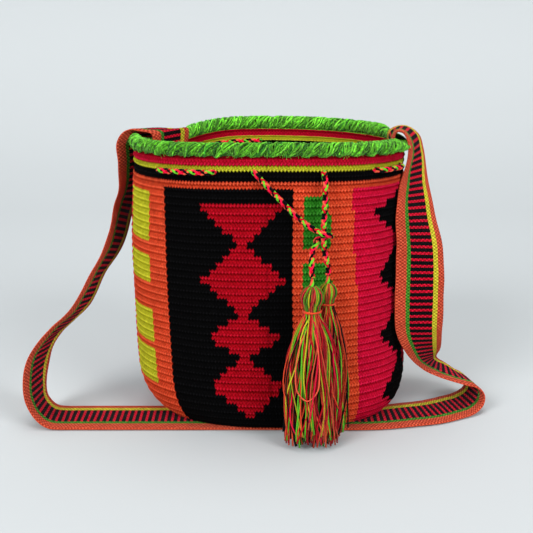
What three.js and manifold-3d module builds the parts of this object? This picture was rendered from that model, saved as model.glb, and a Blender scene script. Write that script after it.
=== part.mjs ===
// A crocheted bucket bag with one woven shoulder strap, in millimetres with +Z up.
// The origin is on the floor under the middle of the base. The front of the bag, with the
// drawstring's tassels, looks along -Y. Angles round the bag run from the front, positive
// towards +X, and heights are those of an even mouth before the mouth's wave is added.

import * as THREE from 'three';
import { mergeVertices } from 'three/addons/utils/BufferGeometryUtils.js';
import Module from 'manifold-3d';

const wasm = await Module();
wasm.setup();

// Bag: outer sizes of the crocheted body
const bagWidth = 274;
const bagDepth = 216;
const bodyHeight = 265;
const wallThickness = 4;
const baseThickness = 4;
const squareness = 2.4;
const mouthFlareSide = 2.5;
const mouthFlareFront = 4;
const flareStart = 140;
const cornerHeight = 48;
const cornerInsetSide = 31;
const cornerInsetFront = 15;
const lean = -9;
const leanHeight = 60;

// Mouth: it rises at front and back, and the strap pulls both sides in and the left back
// corner further in and down
const mouthRise = 4.2;
const mouthDrop = 3.6;
const waveStart = 150;
const sideDents = [{ depth: 4.5, middle: 88, half: 50 }, { depth: 7, middle: -80, half: 50 }];
const dentDepth = 27;
const dentDrop = 5;
const dentStart = -89;
const dentDeepest = -112;
const dentEnd = -165;
const dentHeight = 115;

// Edging worked on the top of the wall
const edgingHeight = 13.2;
const edgingThickness = 10;

// Where the strap lies over the edging and presses it down: angles of the pressed stretches
const pressedShare = 0.45;
const pressedEase = 10;
const pressedLeft = [-124, -92];
const pressedRight = [72, 108];

// Strap
const strapWidth = 62;
const strapThickness = 3;
const strapOverlap = 39;
const strapBendHeight = 16;
const strapRipple = 0.13;
const strapWallGap = 1.4;
const strapEdgingGap = 1;
const dentSlack = 4;
const strapFloorNear = -99;
const leftNearAngle = -93;
const rightNearAngle = 75;
const seamHeight = 3;
const seamThickness = 2;
const seamWallGap = 1.2;
const seamMargin = 4;

// Channel under the base, where the bag stands on its own strap
const channelSlack = 5;
const channelRamp = 8;
const channelOvercut = 1;

// Drawstring and its eyelets
const cordDiameter = 6;
const cordLine = 12.5;
const cordWallGap = 1.2;
const eyeletBend = 5.5;
const overStrapSlack = 5;
const overDentSlack = 1.5;

// Knot where the drawstring's left end is wound once round its right end
const knotHeight = 197;
const knotX = 42;
const knotOut = 12;
const knotPitch = 12;
const knotClearance = 1.2;

// Tassels: width and depth are across the skirt's foot
const tasselFootGap = 4;
const stemRadius = 1.7;
const stemLength = 5.2;
const bindingThickness = 1.7;
const bindingHeight = 3;
const bindingBevel = 0.6;
const frontTassel = {
  x: 31.5, headRadius: 11, neckRadius: 7.2, skirtWidth: 52, skirtDepth: 24, skirtShift: -5, height: 152,
};
const rearTassel = {
  x: 46.5, headRadius: 9, neckRadius: 5.9, skirtWidth: 36, skirtDepth: 16, skirtShift: 1, height: 151,
};
const tasselGap = 0.8;
const rearTasselOut = 10.5;

// A skirt's outline from its top to its foot, as shares of its half width and of its height
const skirtOutline = [[0.66, 0.84], [0.83, 0.64], [0.95, 0.36], [1, 0.1], [0.9, 0]];
const skirtFlattenShare = 0.2;
const skirtShoulder = 3;

// Clearance between pieces that touch, and what an eyelet's bore has above it
const fitGap = 0.3;
const eyeletEase = 0.05;

// Facets
const roundSegments = 72;
const cordSides = 8;
const edgingSides = 8;
const seamSteps = 16;
const tasselSides = 24;
const stepsBetweenStations = 3;

// Sizes that the route of the free strap was chosen at: it stretches with the bag
const routeWidth = 274;
const routeDepth = 216;
const routeHeight = 265;

const radians = THREE.MathUtils.degToRad;
const smooth = THREE.MathUtils.smoothstep;

function frontSigned(angle) {
  return ((angle + 180) % 360 + 360) % 360 - 180;
}

// How far the mouth is pulled in at an angle, from 0 to 1
function dentShare(angle) {
  const signed = frontSigned(angle);
  if (signed > dentStart || signed < dentEnd) return 0;
  if (signed > dentDeepest) {
    const way = (dentStart - signed) / (dentStart - dentDeepest);
    return way * (1.3 - 0.3 * way);
  }
  const way = (dentDeepest - signed) / (dentDeepest - dentEnd);
  return Math.cos(way * Math.PI / 2) ** 2;
}

function sideDent(angle) {
  return sideDents.reduce((sum, { depth, middle, half }) => {
    const away = Math.min(1, Math.abs(frontSigned(angle) - middle) / half);
    return sum + depth * Math.cos(away * Math.PI / 2) ** 2;
  }, 0);
}

// How far the edging is pressed down at an angle, from 0 to 1
function pressShare(angle) {
  const signed = frontSigned(angle);
  return [pressedLeft, pressedRight].reduce((share, [from, to]) => share
    + smooth(signed, from - pressedEase, from) * (1 - smooth(signed, to, to + pressedEase)), 0);
}

// The wall's outer surface, seen from above at one height
function wallOutline(angle, height) {
  const corner = Math.max(0, 1 - height / cornerHeight);
  const pull = 1 - Math.sqrt(Math.max(0, 1 - corner * corner));
  const flare = smooth(height, flareStart, bodyHeight);
  const halfWidth = bagWidth / 2 + mouthFlareSide * flare - cornerInsetSide * pull;
  const halfDepth = bagDepth / 2 + mouthFlareFront * flare - cornerInsetFront * pull;
  const across = Math.abs(Math.sin(radians(angle)) / halfWidth) ** squareness;
  const along = Math.abs(Math.cos(radians(angle)) / halfDepth) ** squareness;
  const dent = (dentDepth * dentShare(angle) + sideDent(angle))
    * smooth(height, bodyHeight - dentHeight, bodyHeight);
  const reach = (across + along) ** (-1 / squareness) - dent;
  const shift = lean * (1 - Math.exp(-Math.max(0, height) / leanHeight));
  return new THREE.Vector2(shift + reach * Math.sin(radians(angle)), -reach * Math.cos(radians(angle)));
}

// A point at a distance out from the wall's outer surface, negative inside the bag
function wallPoint(angle, height, out) {
  const before = wallOutline(angle - 1, height);
  const after = wallOutline(angle + 1, height);
  const run = after.sub(before).normalize();
  const place = wallOutline(angle, height);
  const wave = (mouthRise - mouthDrop * Math.sin(radians(angle)) ** 2 - dentDrop * dentShare(angle))
    * smooth(height, waveStart, bodyHeight);
  return new THREE.Vector3(place.x + run.y * out, place.y - run.x * out, height + wave);
}

// The angle reached after going a distance round the wall
function angleAfter(angle, height, distance) {
  const perDegree = wallOutline(angle + 0.5, height).distanceTo(wallOutline(angle - 0.5, height));
  return angle + distance / perDegree;
}

// Closed solid through rings of points. A ring of one point closes an end.
function loft(rings, loops = false) {
  const vertices = [];
  const triangles = [];
  const starts = [];
  for (const ring of rings) {
    starts.push(vertices.length / 3);
    for (const point of ring) vertices.push(point.x, point.y, point.z);
  }
  const joins = loops ? rings.length : rings.length - 1;
  for (let row = 0; row < joins; row += 1) {
    const next = (row + 1) % rings.length;
    const count = Math.max(rings[row].length, rings[next].length);
    for (let i = 0; i < count; i += 1) {
      const j = (i + 1) % count;
      const low = rings[row].length === 1 ? [0, 0] : [i, j];
      const high = rings[next].length === 1 ? [0, 0] : [i, j];
      if (low[0] !== low[1]) triangles.push(starts[row] + low[0], starts[row] + low[1], starts[next] + high[1]);
      if (high[0] !== high[1]) triangles.push(starts[row] + low[0], starts[next] + high[1], starts[next] + high[0]);
    }
  }
  const geometry = new THREE.BufferGeometry();
  geometry.setAttribute('position', new THREE.Float32BufferAttribute(vertices, 3));
  geometry.setIndex(triangles);
  return geometry;
}

function solidFrom(geometry) {
  const bare = geometry.clone();
  for (const name of ['normal', 'uv']) {
    if (bare.getAttribute(name)) bare.deleteAttribute(name);
  }
  const merged = mergeVertices(bare, 1e-4);
  const solid = new wasm.Manifold(new wasm.Mesh({
    numProp: 3,
    vertProperties: new Float32Array(merged.getAttribute('position').array),
    triVerts: new Uint32Array(merged.getIndex().array),
  }));
  return solid;
}

function geometryFrom(solid) {
  const mesh = solid.getMesh();
  const geometry = new THREE.BufferGeometry();
  geometry.setAttribute('position', new THREE.Float32BufferAttribute(mesh.vertProperties, mesh.numProp));
  geometry.setIndex(Array.from(mesh.triVerts));
  return geometry;
}

// Crocheted body: flat base, rounded foot, wall and inside, in one surface
const floorLift = strapThickness + 2 * fitGap;
const strapFloorFar = strapFloorNear + strapWidth;

function floorRise(y, height) {
  const ramp = 1 - smooth(y, strapFloorFar + channelRamp, strapFloorFar + 3 * channelRamp);
  return floorLift * ramp * Math.max(0, 1 - (height - baseThickness) / cornerHeight);
}

function wallRing(height, out, inside) {
  const ring = [];
  for (let i = 0; i < roundSegments; i += 1) {
    const point = wallPoint(i * 360 / roundSegments, height, out);
    if (inside) point.z += floorRise(point.y, height);
    ring.push(point);
  }
  return ring;
}

function floorRing(share, height, out, inside) {
  return wallRing(height, out, inside).map((point) => {
    const flat = new THREE.Vector3(point.x * share, point.y * share, height);
    if (inside) flat.z += floorRise(flat.y, height);
    return flat;
  });
}

function makeBody() {
  const footHeights = [0, 1.5, 5, 10, 18, 30, cornerHeight];
  const wallHeights = [95, flareStart, 165, 188, 208, 228, 248, bodyHeight];
  const insideHeights = [8, 16, 30, cornerHeight, ...wallHeights];
  const rings = [[new THREE.Vector3(0, 0, 0)]];
  for (const share of [0.4, 0.75]) rings.push(floorRing(share, 0, 0, false));
  for (const height of [...footHeights, ...wallHeights]) rings.push(wallRing(height, 0, false));
  for (const height of insideHeights.reverse()) rings.push(wallRing(height, -wallThickness, true));
  rings.push(wallRing(baseThickness, -wallThickness, true));
  for (const share of [0.85, 0.65, 0.45, 0.25]) {
    rings.push(floorRing(share, baseThickness, -wallThickness, true));
  }
  rings.push([new THREE.Vector3(0, 0, baseThickness)]);
  return solidFrom(loft(rings));
}

// The strap passes under the front of the base, which rides over it
function makeChannel() {
  const far = strapFloorFar + channelSlack;
  const outline = new THREE.Shape();
  outline.moveTo(-bagDepth, -channelOvercut);
  outline.lineTo(far + channelRamp, -channelOvercut);
  outline.lineTo(far + channelRamp, 0);
  outline.lineTo(far, floorLift);
  outline.lineTo(-bagDepth, floorLift);
  const geometry = new THREE.ExtrudeGeometry(outline, { depth: 2 * bagWidth, bevelEnabled: false });
  geometry.translate(0, 0, -bagWidth);
  geometry.rotateY(Math.PI / 2);
  geometry.rotateX(Math.PI / 2);
  return solidFrom(geometry);
}

// Edging: a thick rope-like ring that stands on the wall all round the mouth
function makeEdging() {
  const rings = [];
  const stretch = 1 / Math.cos(Math.PI / edgingSides);
  for (let i = 0; i < roundSegments; i += 1) {
    const angle = i * 360 / roundSegments;
    const half = edgingHeight * (1 - pressedShare * pressShare(angle)) / 2;
    const ring = [];
    for (let side = 0; side < edgingSides; side += 1) {
      const turn = 2 * Math.PI * (side + 0.5) / edgingSides;
      const out = -wallThickness / 2 + stretch * Math.cos(turn) * edgingThickness / 2;
      const point = wallPoint(angle, bodyHeight, out);
      point.z += fitGap + half + stretch * Math.sin(turn) * half;
      ring.push(point);
    }
    rings.push(ring);
  }
  return loft(rings.reverse(), true);
}

// Strap: each station has the edge near the front, with the green stripe, and the far edge
const strapEndHeight = bodyHeight - strapOverlap;
const legOut = wallThickness + strapThickness / 2 + strapWallGap;
const dentLegOut = legOut + dentSlack;
const edgingLegOut = (wallThickness + edgingThickness + strapThickness) / 2 + strapEdgingGap;
const dentEdgingLegOut = edgingLegOut + dentSlack;
const rimTop = bodyHeight + fitGap + edgingHeight;

function station(near, far) {
  const across = far.clone().sub(near).normalize();
  return { near, far: near.clone().addScaledVector(across, strapWidth) };
}

// On the inside of the wall, from the near edge a strap's width further round
function insideStation(nearAngle, turn, height, out) {
  const wallHeight = Math.min(height, bodyHeight);
  const near = wallPoint(nearAngle, wallHeight, -out);
  const far = wallPoint(angleAfter(nearAngle + turn * 12, wallHeight, turn * strapWidth) - turn * 12,
    wallHeight, -out);
  near.z = height;
  far.z = height;
  return station(near, far);
}

function freeStation(near, far) {
  const scale = new THREE.Vector3(bagWidth / routeWidth, bagDepth / routeDepth, bodyHeight / routeHeight);
  return station(new THREE.Vector3(...near).multiply(scale), new THREE.Vector3(...far).multiply(scale));
}

function floorStation(near, far) {
  const middle = strapThickness / 2 + strapRipple;
  return station(new THREE.Vector3(near[0] * bagWidth / routeWidth, near[1], middle + near[2]),
    new THREE.Vector3(far[0] * bagWidth / routeWidth, far[1], middle + far[2]));
}

const strapStations = [
  insideStation(leftNearAngle, -1, strapEndHeight, dentLegOut),
  insideStation(leftNearAngle, -1, strapEndHeight + strapBendHeight, dentLegOut),
  insideStation(leftNearAngle, -1, bodyHeight - 12, dentLegOut + 1),
  insideStation(leftNearAngle, -1, bodyHeight, dentEdgingLegOut),
  insideStation(leftNearAngle, -1, rimTop - 2, dentEdgingLegOut),
  freeStation([-138, -2, 280.5], [-102, 39, 275.5]),
  freeStation([-147, -1, 281.5], [-108, 42, 277]),
  freeStation([-154, -2, 278], [-114, 45, 274]),
  freeStation([-160, -3, 267], [-121, 49, 264]),
  freeStation([-159, -5, 248], [-125, 49, 247]),
  freeStation([-158, -10, 226], [-136, 47, 222]),
  freeStation([-162, -18, 208], [-150, 41, 192]),
  freeStation([-170, -34, 172], [-161, 24, 157]),
  freeStation([-183, -50, 146], [-177, 10, 133]),
  freeStation([-203, -64, 112], [-192, -5, 103]),
  freeStation([-221, -75, 96], [-206, -14, 89]),
  freeStation([-234, -83, 82], [-218, -22, 79]),
  freeStation([-242, -88, 68], [-227, -27, 65]),
  freeStation([-246, -92, 51], [-232, -31, 50]),
  freeStation([-245, -95, 33], [-235, -34, 32]),
  freeStation([-239, -97, 17], [-235, -36, 15]),
  freeStation([-230, -98, 6.5], [-229, -38, 6]),
  floorStation([-222, strapFloorNear, 1], [-223, strapFloorFar, 1]),
  floorStation([-212, strapFloorNear, 0], [-214, strapFloorFar, 0]),
  floorStation([-195, strapFloorNear, 0], [-195, strapFloorFar, 0]),
  floorStation([-130, strapFloorNear, 0], [-130, strapFloorFar, 0]),
  floorStation([0, strapFloorNear, 0], [0, strapFloorFar, 0]),
  floorStation([98, strapFloorNear, 0], [98, strapFloorFar, 0]),
  floorStation([132, -93, 0.6], [126, -32, 0.6]),
  floorStation([163, -84, 0.4], [151, -23, 0.4]),
  floorStation([184.4, -72, 0.3], [171.5, -12, 0.2]),
  floorStation([200.7, -62, 2], [188.7, -2, 1]),
  floorStation([210.2, -54, 9], [199.9, 6, 5]),
  floorStation([211.1, -49, 17], [202.5, 11, 12]),
  floorStation([204.2, -46, 23], [197.3, 15, 18]),
  freeStation([193, -44, 27], [188.7, 17, 24]),
  freeStation([177.5, -43, 31], [180.1, 17, 30]),
  freeStation([162, -44, 37], [174.1, 16, 34]),
  freeStation([147, -48, 46], [169.8, 8, 40]),
  freeStation([129, -59, 66], [170, -14, 56]),
  freeStation([117, -66, 92], [168, -33, 82]),
  freeStation([115, -68, 130], [167, -37, 122]),
  freeStation([115, -68, 174], [165, -34, 165]),
  freeStation([114, -66, 214], [157, -20, 208]),
  freeStation([119.5, -53, 240], [153, 2, 238]),
  freeStation([126.5, -43, 260], [150, 16, 261]),
  freeStation([126.3, -43, 273], [146, 19, 274]),
  freeStation([121.5, -40, 283], [136, 23, 281]),
  freeStation([116, -36, 283.5], [126, 26, 282]),
  insideStation(rightNearAngle, 1, rimTop - 2, edgingLegOut),
  insideStation(rightNearAngle, 1, bodyHeight, edgingLegOut),
  insideStation(rightNearAngle, 1, bodyHeight - 12, legOut + 1),
  insideStation(rightNearAngle, 1, strapEndHeight + strapBendHeight, legOut),
  insideStation(rightNearAngle, 1, strapEndHeight, legOut),
];

// The band is 6-sided in section, with thin edges
function bandRing(middle, across, normal) {
  const half = strapWidth / 2;
  const bevel = strapThickness / 2;
  const outline = [[-half, 0], [-half + bevel, bevel], [half - bevel, bevel], [half, 0],
    [half - bevel, -bevel], [-half + bevel, -bevel]];
  return outline.map(([side, up]) => middle.clone().addScaledVector(across, side).addScaledVector(normal, up));
}

function makeStrap() {
  const near = new THREE.CatmullRomCurve3(strapStations.map((entry) => entry.near));
  const far = new THREE.CatmullRomCurve3(strapStations.map((entry) => entry.far));
  const steps = (strapStations.length - 1) * stepsBetweenStations;
  const middleAt = (share) => near.getPoint(share).add(far.getPoint(share)).multiplyScalar(0.5);
  const rings = [];
  for (let i = 0; i <= steps; i += 1) {
    const middle = middleAt(i / steps);
    const ahead = middleAt(Math.min(1, (i + 0.5) / steps));
    const behind = middleAt(Math.max(0, (i - 0.5) / steps));
    const across = far.getPoint(i / steps).sub(near.getPoint(i / steps)).normalize();
    const normal = new THREE.Vector3().crossVectors(across, ahead.sub(behind)).normalize();
    if (i === 0) rings.push([middle]);
    rings.push(bandRing(middle, across, normal));
    if (i === steps) rings.push([middle]);
  }
  return loft(rings);
}

// Seam: the whipped stitches that hold a strap's end to the wall, just under the end
function makeSeam(nearAngle, turn) {
  const inner = wallThickness + seamWallGap;
  const top = strapEndHeight - fitGap;
  const depth = seamThickness + legOut - inner;
  const length = strapWidth - 2 * seamMargin;
  const rings = [];
  let angle = angleAfter(nearAngle, strapEndHeight, turn * seamMargin);
  for (let i = 0; i <= seamSteps; i += 1) {
    const section = [[inner, top - seamHeight], [inner + depth, top - seamHeight],
      [inner + depth, top], [inner, top]];
    const ring = section.map(([out, height]) => {
      const point = wallPoint(angle, height, -out);
      point.z = height;
      return point;
    });
    const middle = ring[0].clone().add(ring[2]).multiplyScalar(0.5);
    if (i === 0) rings.push([middle]);
    rings.push(ring);
    if (i === seamSteps) rings.push([middle]);
    angle = angleAfter(angle, strapEndHeight, turn * length / seamSteps);
  }
  return loft(turn > 0 ? rings : rings.reverse());
}

// Drawstring: it goes in and out of the wall, and its two ends hang in front
const cordRadius = cordDiameter / 2;
const cordHeight = bodyHeight - cordLine;
const outsideLane = cordRadius + cordWallGap;
const insideLane = wallThickness + cordRadius + cordWallGap;
const overStrapLane = legOut + strapThickness / 2 + cordRadius + overStrapSlack;
const overDentLane = dentLegOut + strapThickness / 2 + cordRadius + overDentSlack;
const laneMiddle = (outsideLane - insideLane) / 2;
const laneHalf = (outsideLane + insideLane) / 2;
const frontFace = -bagDepth / 2;

// One pass through an eyelet, as two quarter turns. The cord travels towards smaller angles.
function pass(angle, outwards) {
  const side = outwards ? -1 : 1;
  const corners = [0, 45, 90, 135, 180];
  return corners.map((corner) => {
    const turned = radians(corner);
    const run = corner <= 90 ? Math.sin(turned) - 1 : 1 - Math.sin(turned);
    const place = angleAfter(angle, cordHeight, -run * eyeletBend);
    return wallPoint(place, cordHeight, laneMiddle + side * laneHalf * Math.cos(turned));
  });
}

function lane(out, angles) {
  return angles.map((angle) => wallPoint(angle, cordHeight, out));
}

// A point in front of the bag: across, out from the front face, and up
function inFront(x, out, z) {
  return new THREE.Vector3(x, frontFace - out, z);
}

const rearTasselY = frontFace - rearTasselOut;
const frontTasselY = rearTasselY + rearTassel.skirtShift - rearTassel.skirtDepth / 2 - tasselGap
  - frontTassel.skirtDepth / 2 - frontTassel.skirtShift;
const cordEndGap = stemRadius + fitGap;

function pivotOf(tassel, y) {
  return new THREE.Vector3(tassel.x, y, tasselFootGap + tassel.height + stemLength);
}

const frontPivot = pivotOf(frontTassel, frontTasselY);
const rearPivot = pivotOf(rearTassel, rearTasselY);

// The right end hangs straight down through the turn
function knotTurn() {
  const knotRadius = cordDiameter + knotClearance;
  const points = [];
  for (let step = 0; step <= 7; step += 1) {
    const turned = radians(-110 + step * 45);
    const height = knotHeight + knotPitch * (0.5 - step / 8);
    points.push(new THREE.Vector3(knotX + knotRadius * Math.cos(turned),
      frontFace - knotOut + knotRadius * Math.sin(turned), height));
  }
  return points;
}

function cordRoute() {
  const leftEye = -6.4;
  const rightEye = 25.6 - 360;
  const eyeZ = wallPoint(leftEye, cordHeight, 0).z;
  const leftHole = wallPoint(leftEye, cordHeight, laneMiddle);
  const rightHole = wallPoint(rightEye, cordHeight, laneMiddle);
  const leftTurn = pass(leftEye, false).slice(3);
  const rightTurn = pass(rightEye, true).slice(0, 2);
  return [
    new THREE.Vector3(frontPivot.x, frontPivot.y, frontPivot.z + cordEndGap),
    new THREE.Vector3(frontPivot.x - 0.5, frontPivot.y + 1, frontPivot.z + 9),
    inFront(31, 21, frontPivot.z + 17),
    inFront(32, 16, frontPivot.z + 26),
    ...knotTurn().reverse(),
    inFront(22, 12, 213),
    inFront(0, 8, 234),
    inFront(-16, 7.5, eyeZ - 5.5),
    new THREE.Vector3(leftHole.x + 1, leftHole.y - 4.6, eyeZ - 1),
    leftHole,
    ...leftTurn,
    ...lane(-insideLane, [-14]),
    ...pass(-24.3, true),
    ...lane(outsideLane, [-32, -40]),
    ...pass(-50.5, false),
    ...lane(-insideLane, [-59, -67]),
    ...lane(-overDentLane, [-77, -86, -96, -106, -115, -124]),
    ...lane(-insideLane, [-137, -152, -166]),
    ...pass(-176, true),
    ...lane(outsideLane, [-190, -204, -217]),
    ...pass(-230, false),
    ...lane(-insideLane, [-240, -250]),
    ...lane(-overStrapLane, [-260, -270, -281]),
    ...pass(-293, true),
    ...lane(outsideLane, [-302]),
    ...pass(-311, false),
    ...lane(-insideLane, [-322]),
    ...rightTurn,
    rightHole,
    new THREE.Vector3(rightHole.x, rightHole.y - 4.8, rightHole.z - 1),
    inFront(43, 8.5, rightHole.z - 8),
    inFront(43, 10.5, 232),
    inFront(knotX, knotOut, 212),
    inFront(knotX, knotOut, 196),
    inFront(43.5, 11.6, 182),
    new THREE.Vector3(rearPivot.x, rearPivot.y, rearPivot.z + 9),
    new THREE.Vector3(rearPivot.x, rearPivot.y, rearPivot.z + cordEndGap),
  ];
}

// A route whose steps fall on its chosen points
class RouteCurve extends THREE.CatmullRomCurve3 {
  getUtoTmapping(share) {
    return share;
  }
}

function cordTube(radius) {
  const points = cordRoute();
  const section = new THREE.Shape();
  for (let side = 0; side < cordSides; side += 1) {
    const turn = 2 * Math.PI * side / cordSides;
    const corner = [radius * Math.cos(turn), radius * Math.sin(turn)];
    if (side === 0) section.moveTo(...corner);
    else section.lineTo(...corner);
  }
  const path = new RouteCurve(points);
  return new THREE.ExtrudeGeometry(section, { steps: points.length - 1, extrudePath: path });
}

// Tassel: a stem on a ball end, a head of looped yarn, a bound neck and a skirt of cut yarn
function makeTassel(tassel) {
  const head = tassel.height - 2 * tassel.headRadius;
  const skirtTop = head - bindingHeight - 2;
  const profile = [[0, tassel.height + stemLength + stemRadius]];
  for (const turn of [30, 60, 90]) {
    profile.push([stemRadius * Math.sin(radians(turn)),
      tassel.height + stemLength + stemRadius * Math.cos(radians(turn))]);
  }
  profile.push([stemRadius, tassel.height - 0.2]);
  for (const turn of [25, 50, 75, 105, 130]) {
    profile.push([tassel.headRadius * Math.sin(radians(turn)),
      tassel.height - tassel.headRadius * (1 - Math.cos(radians(turn)))]);
  }
  profile.push([tassel.neckRadius, head + 1]);
  profile.push([tassel.neckRadius, skirtTop + 1]);
  profile.push([tassel.neckRadius + skirtShoulder, skirtTop - skirtShoulder]);
  for (const [across, up] of skirtOutline) {
    profile.push([across * tassel.skirtWidth / 2, up * skirtTop]);
  }
  profile.push([0, 0]);
  const points = profile.reverse().map(([x, y]) => new THREE.Vector2(x, y));
  const geometry = new THREE.LatheGeometry(points, tasselSides);
  geometry.rotateX(Math.PI / 2);
  const position = geometry.getAttribute('position');
  for (let i = 0; i < position.count; i += 1) {
    const fall = THREE.MathUtils.clamp(1 - position.getZ(i) / skirtTop, 0, 1);
    const flattened = Math.sqrt(Math.min(1, fall / skirtFlattenShare));
    const flat = 1 + (tassel.skirtDepth / tassel.skirtWidth - 1) * flattened;
    position.setY(i, position.getY(i) * flat + tassel.skirtShift * (1 - (1 - fall) ** 2));
  }
  return geometryFrom(solidFrom(geometry));
}

function makeBinding(tassel) {
  const inner = tassel.neckRadius + fitGap;
  const outer = inner + bindingThickness;
  const half = bindingHeight / 2;
  const outline = [[inner, -half], [outer - bindingBevel, -half], [outer, -half + bindingBevel],
    [outer, half - bindingBevel], [outer - bindingBevel, half], [inner, half], [inner, -half]];
  const points = outline.map(([x, y]) => new THREE.Vector2(x, y));
  const geometry = new THREE.LatheGeometry(points, tasselSides);
  geometry.rotateX(Math.PI / 2);
  return geometryFrom(solidFrom(geometry));
}

// Colours of the yarns
const salmonOrange = { color: 0xe0603a, roughness: 0.95, metalness: 0 };
const leafGreen = { color: 0x55b830, roughness: 1, metalness: 0 };
const woven = { color: 0xd9455a, roughness: 0.9, metalness: 0 };
const sewingYarn = { color: 0xe87a50, roughness: 0.9, metalness: 0 };
const braid = { color: 0xb5562e, roughness: 0.9, metalness: 0 };
const mixedYarn = { color: 0xc8a03a, roughness: 0.95, metalness: 0 };

const bag = new THREE.Group();

function addPiece(name, geometry, look, place = null) {
  geometry.computeVertexNormals();
  const mesh = new THREE.Mesh(geometry, new THREE.MeshStandardMaterial(look));
  mesh.name = name;
  if (place) mesh.position.copy(place);
  bag.add(mesh);
}

function addTassel(name, tassel, y) {
  const foot = new THREE.Vector3(tassel.x, y, tasselFootGap);
  const neck = tasselFootGap + tassel.height - 2 * tassel.headRadius - bindingHeight / 2 - 0.5;
  addPiece(`${name}_yarn`, makeTassel(tassel), mixedYarn, foot);
  addPiece(`${name}_binding`, makeBinding(tassel), salmonOrange, new THREE.Vector3(tassel.x, y, neck));
}

const eyelets = solidFrom(cordTube(cordRadius + fitGap + eyeletEase));
const body = makeBody().subtract(makeChannel()).subtract(eyelets);
addPiece('bag_body', geometryFrom(body), salmonOrange);
addPiece('rim_edging', makeEdging(), leafGreen);
addPiece('strap', makeStrap(), woven);
addPiece('strap_seam_left', makeSeam(leftNearAngle, -1), sewingYarn);
addPiece('strap_seam_right', makeSeam(rightNearAngle, 1), sewingYarn);
addPiece('drawstring', cordTube(cordRadius), braid);
addTassel('tassel_front', frontTassel, frontTasselY);
addTassel('tassel_rear', rearTassel, rearTasselY);

export default bag;
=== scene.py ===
import math

import bpy
import numpy as np
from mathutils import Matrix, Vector


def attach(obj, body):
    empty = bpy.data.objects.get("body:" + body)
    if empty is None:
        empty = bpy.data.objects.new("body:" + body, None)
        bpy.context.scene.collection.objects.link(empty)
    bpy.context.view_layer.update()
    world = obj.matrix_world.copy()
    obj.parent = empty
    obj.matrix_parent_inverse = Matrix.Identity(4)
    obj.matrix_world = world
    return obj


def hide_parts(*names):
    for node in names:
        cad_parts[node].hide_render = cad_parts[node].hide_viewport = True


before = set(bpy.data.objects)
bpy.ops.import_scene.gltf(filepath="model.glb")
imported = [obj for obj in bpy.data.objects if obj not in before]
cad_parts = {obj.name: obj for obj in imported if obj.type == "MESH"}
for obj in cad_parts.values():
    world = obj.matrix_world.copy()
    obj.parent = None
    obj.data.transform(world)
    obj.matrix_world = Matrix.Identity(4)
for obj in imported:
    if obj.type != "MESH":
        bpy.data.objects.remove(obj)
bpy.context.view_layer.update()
print("frame loaded")

rng = np.random.default_rng(11)

# Yarn colours as seen in daylight, in sRGB
yarnTones = {
    "salmon": (0.925, 0.325, 0.19),
    "strapOrange": (0.84, 0.36, 0.24),
    "bandOrange": (0.77, 0.31, 0.205),
    "bandPink": (0.78, 0.03, 0.17),
    "bandGreen": (0.26, 0.52, 0.15),
    "bandYellow": (0.78, 0.74, 0.19),
    "pink": (0.88, 0.075, 0.245),
    # pink darkened for the rounds under the edging: painted shade from the edging above
    "pinkInEdgingShade": (0.80, 0.06, 0.19),
    "red": (0.71, 0.035, 0.115),
    "black": (0.022, 0.021, 0.025),
    "yellow": (0.83, 0.82, 0.19),
    "green": (0.20, 0.54, 0.14),
    "leaf": (0.38, 0.72, 0.16),
    "lime": (0.50, 0.87, 0.24),
}


def linear(srgb):
    return tuple(c / 12.92 if c <= 0.04045 else ((c + 0.055) / 1.055) ** 2.4 for c in srgb)


yarnDyes = {name: np.array((*linear(srgb), 1.0)) for name, srgb in yarnTones.items()}


def smooth(value, low, high):
    t = np.clip((np.asarray(value, dtype=float) - low) / (high - low), 0, 1)
    return t * t * (3 - 2 * t)


# From 1 in the middle to 0 at a distance of 1
def hump(away):
    return np.cos(np.clip(away, 0, 1) * math.pi / 2) ** 2


# Bag shape, in metres and degrees, as the frame has it
bagShape = {
    "width": 0.274, "depth": 0.216, "height": 0.265, "wall": 0.004, "base": 0.004,
    "squareness": 2.4, "flareSide": 0.0025, "flareFront": 0.004, "flareStart": 0.14,
    "cornerHeight": 0.048, "cornerSide": 0.031, "cornerFront": 0.015,
    "lean": -0.009, "leanHeight": 0.06, "rise": 0.0042, "drop": 0.0036, "waveStart": 0.15,
    "sideDents": [(0.0045, 88, 50), (0.007, -80, 50)],  # depth, middle, half the width
    "dent": 0.027, "dentDrop": 0.005, "dentHeight": 0.115, "dentRise": (1.3, 0.3),
    "dentStart": -89, "dentDeepest": -112, "dentEnd": -165,
    "pressed": 0.45, "pressedEase": 10, "pressedRuns": [(-124, -92), (72, 108)],
    "edgingHeight": 0.0132, "gap": 0.0003,
}


def signedAngle(angle):
    return (np.asarray(angle, dtype=float) + 180) % 360 - 180


def dentShare(angle):
    signed = signedAngle(angle)
    start, deepest, end = bagShape["dentStart"], bagShape["dentDeepest"], bagShape["dentEnd"]
    steep, ease = bagShape["dentRise"]
    way = np.clip((start - signed) / (start - deepest), 0, 1)
    rising = way * (steep - ease * way)
    falling = hump((deepest - signed) / (deepest - end))
    share = np.where(signed > deepest, rising, falling)
    return np.where((signed > start) | (signed < end), 0, share)


def sideDent(angle):
    signed = signedAngle(angle)
    return sum(depth * hump(np.abs(signed - middle) / half)
               for depth, middle, half in bagShape["sideDents"])


# How far the edging is pressed down by the strap, from 0 to 1
def pressShare(angle):
    signed = signedAngle(angle)
    ease = bagShape["pressedEase"]
    return sum(smooth(signed, low - ease, low) * (1 - smooth(signed, high, high + ease))
               for low, high in bagShape["pressedRuns"])


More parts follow.
